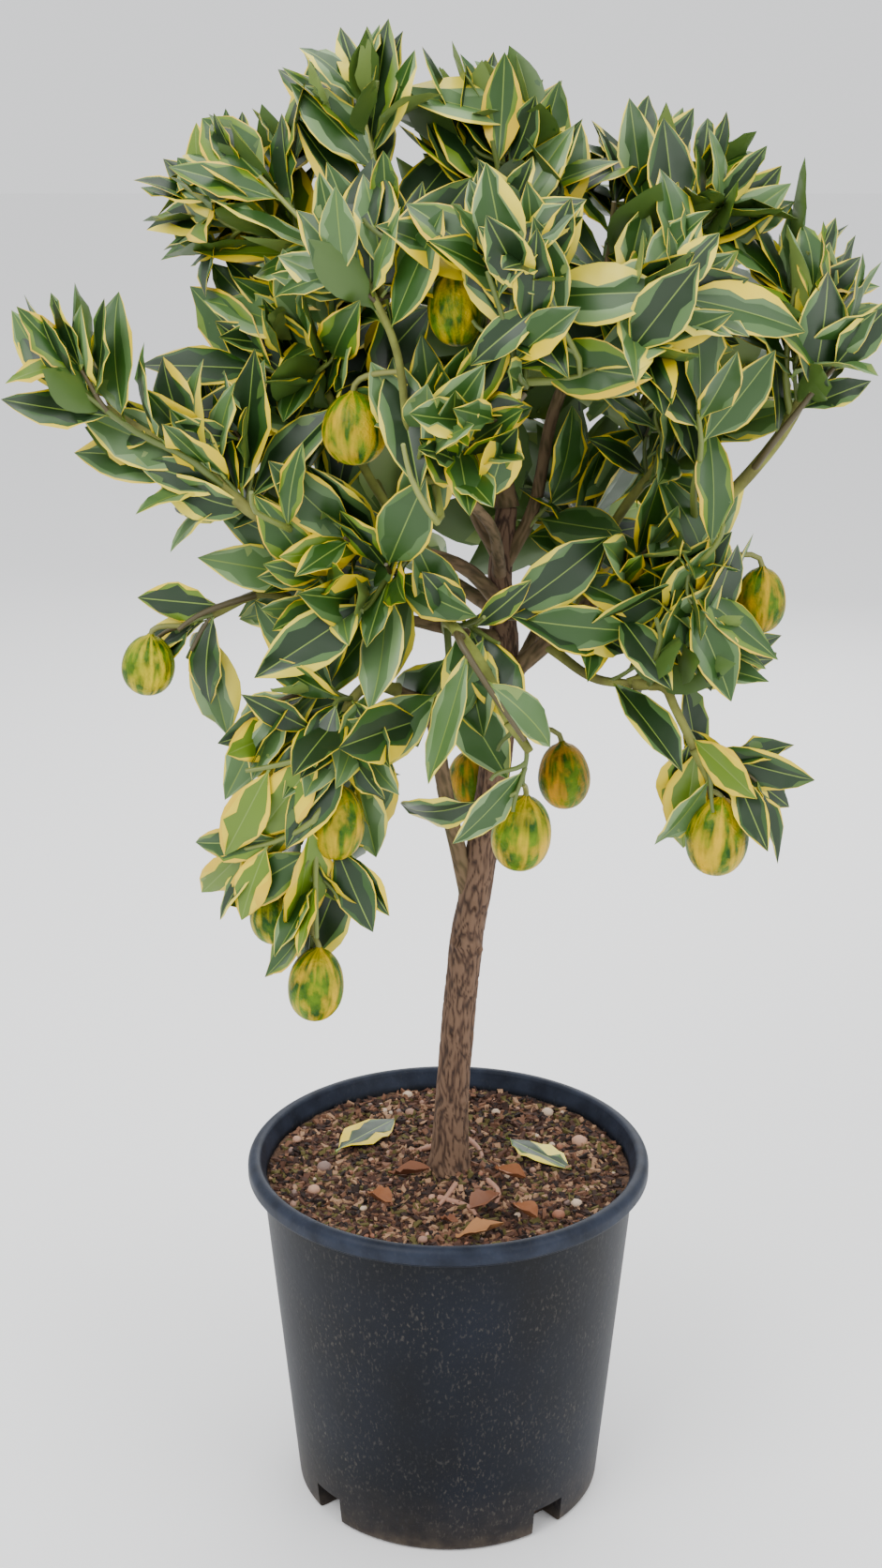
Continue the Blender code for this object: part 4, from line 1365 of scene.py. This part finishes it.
for name, in_front in (("leaves_front", True), ("leaves_back", False)):
    chosen = leaf_table[(leaf_table[:, 1] < FRONT_BEFORE) == in_front]
    base, along, face = chosen[:, 0:3], chosen[:, 3:6], chosen[:, 6:9]
    placed = leaf_places(base, along, face, *chosen[:, 9:14].T)
    mesh = joined_mesh(name, placed, LEAF_FACES, leaf_looks(chosen[:, 14].astype(int)))
    nodes = [node for node, (centre, _) in masses.items() if (centre.y < FRONT_BEFORE) == in_front]
    add_piece(name, mesh, leaf_finishes, nodes)

# %% [markdown]
# ## Leaves and roots on the soil
# Two fallen leaves lie flat on the compost. A few dry ones have curled up and turned brown round the foot
# of the trunk, where some thin roots show at the surface. They are the same leaves and tubes as above, laid
# from pixel to pixel on the soil.

# %% Fallen leaves and dry leaves
# Column and row of a leaf's base and of its tip
FALLEN = (((358, 1236), (422, 1197)), ((540, 1220), (610, 1251)))
FALLEN_KINDS = np.array([3, 0])
DRY = (
    ((392, 1278), (420, 1302)), ((414, 1258), (462, 1266)), ((528, 1254), (562, 1272)),
    ((532, 1280), (498, 1310)), ((548, 1292), (574, 1318)), ((486, 1326), (540, 1322)),
    ((470, 1306), (490, 1314)),
)
DRY_LOOKS = [0, 1, 0, 1, 0, 2, 1]
DRY_TINTS = (134, 82, 46), (112, 68, 42), (152, 104, 62)
BASE_LIFT = 0.0055
TIP_LIFT = 0.0050


def add_laid(name, pairs, looks, finishes, width_share, *form):
    """A piece of leaves that lie on the soil. form is their bend, fold and chance of a pale patch."""
    base = np.array([ground_at(*start, BASE_LIFT)[:] for start, _ in pairs])
    along = np.array([ground_at(*end, TIP_LIFT)[:] for _, end in pairs]) - base
    length = np.linalg.norm(along, axis=1)
    face = np.repeat([[0.05, -0.1, 1.0]], len(pairs), axis=0)
    same = [np.full(len(pairs), value) for value in form]
    placed = leaf_places(base, along, face, length, length * width_share, *same)
    add_piece(name, joined_mesh(name, placed, LEAF_FACES, looks), finishes)


add_laid("fallen_leaves", FALLEN, leaf_looks(FALLEN_KINDS), leaf_finishes, 0.42, 0.08, 0.10, 1.0)
dry_finishes = tinted("dry", DRY_TINTS, 0.7)
add_laid("dry_leaves", DRY, same_look(DRY_LOOKS, LEAF_FACES), dry_finishes, 0.40, -0.5, 0.75, 0.0)

# %% Surface roots
ROOT_PATHS = (
    ((492, 1212), (512, 1232), (518, 1262)), ((466, 1222), (446, 1232), (428, 1226)),
    ((486, 1268), (476, 1282), (462, 1290)), ((468, 1280), (500, 1290), (512, 1300)),
    ((520, 1262), (532, 1276), (524, 1292)),
)
ROOT_RADII = (0.0024, 0.0012)

roots = []
for path in ROOT_PATHS:
    points = [ground_at(*pixel) for pixel in path]
    points[0].z -= 0.002
    points[-1].z -= 0.004
    roots.append((smooth_line(points, 4), *ROOT_RADII))
add_stems("surface_roots", roots, [0] * len(roots), [plain("root", linear(160, 118, 98), 0.75)])
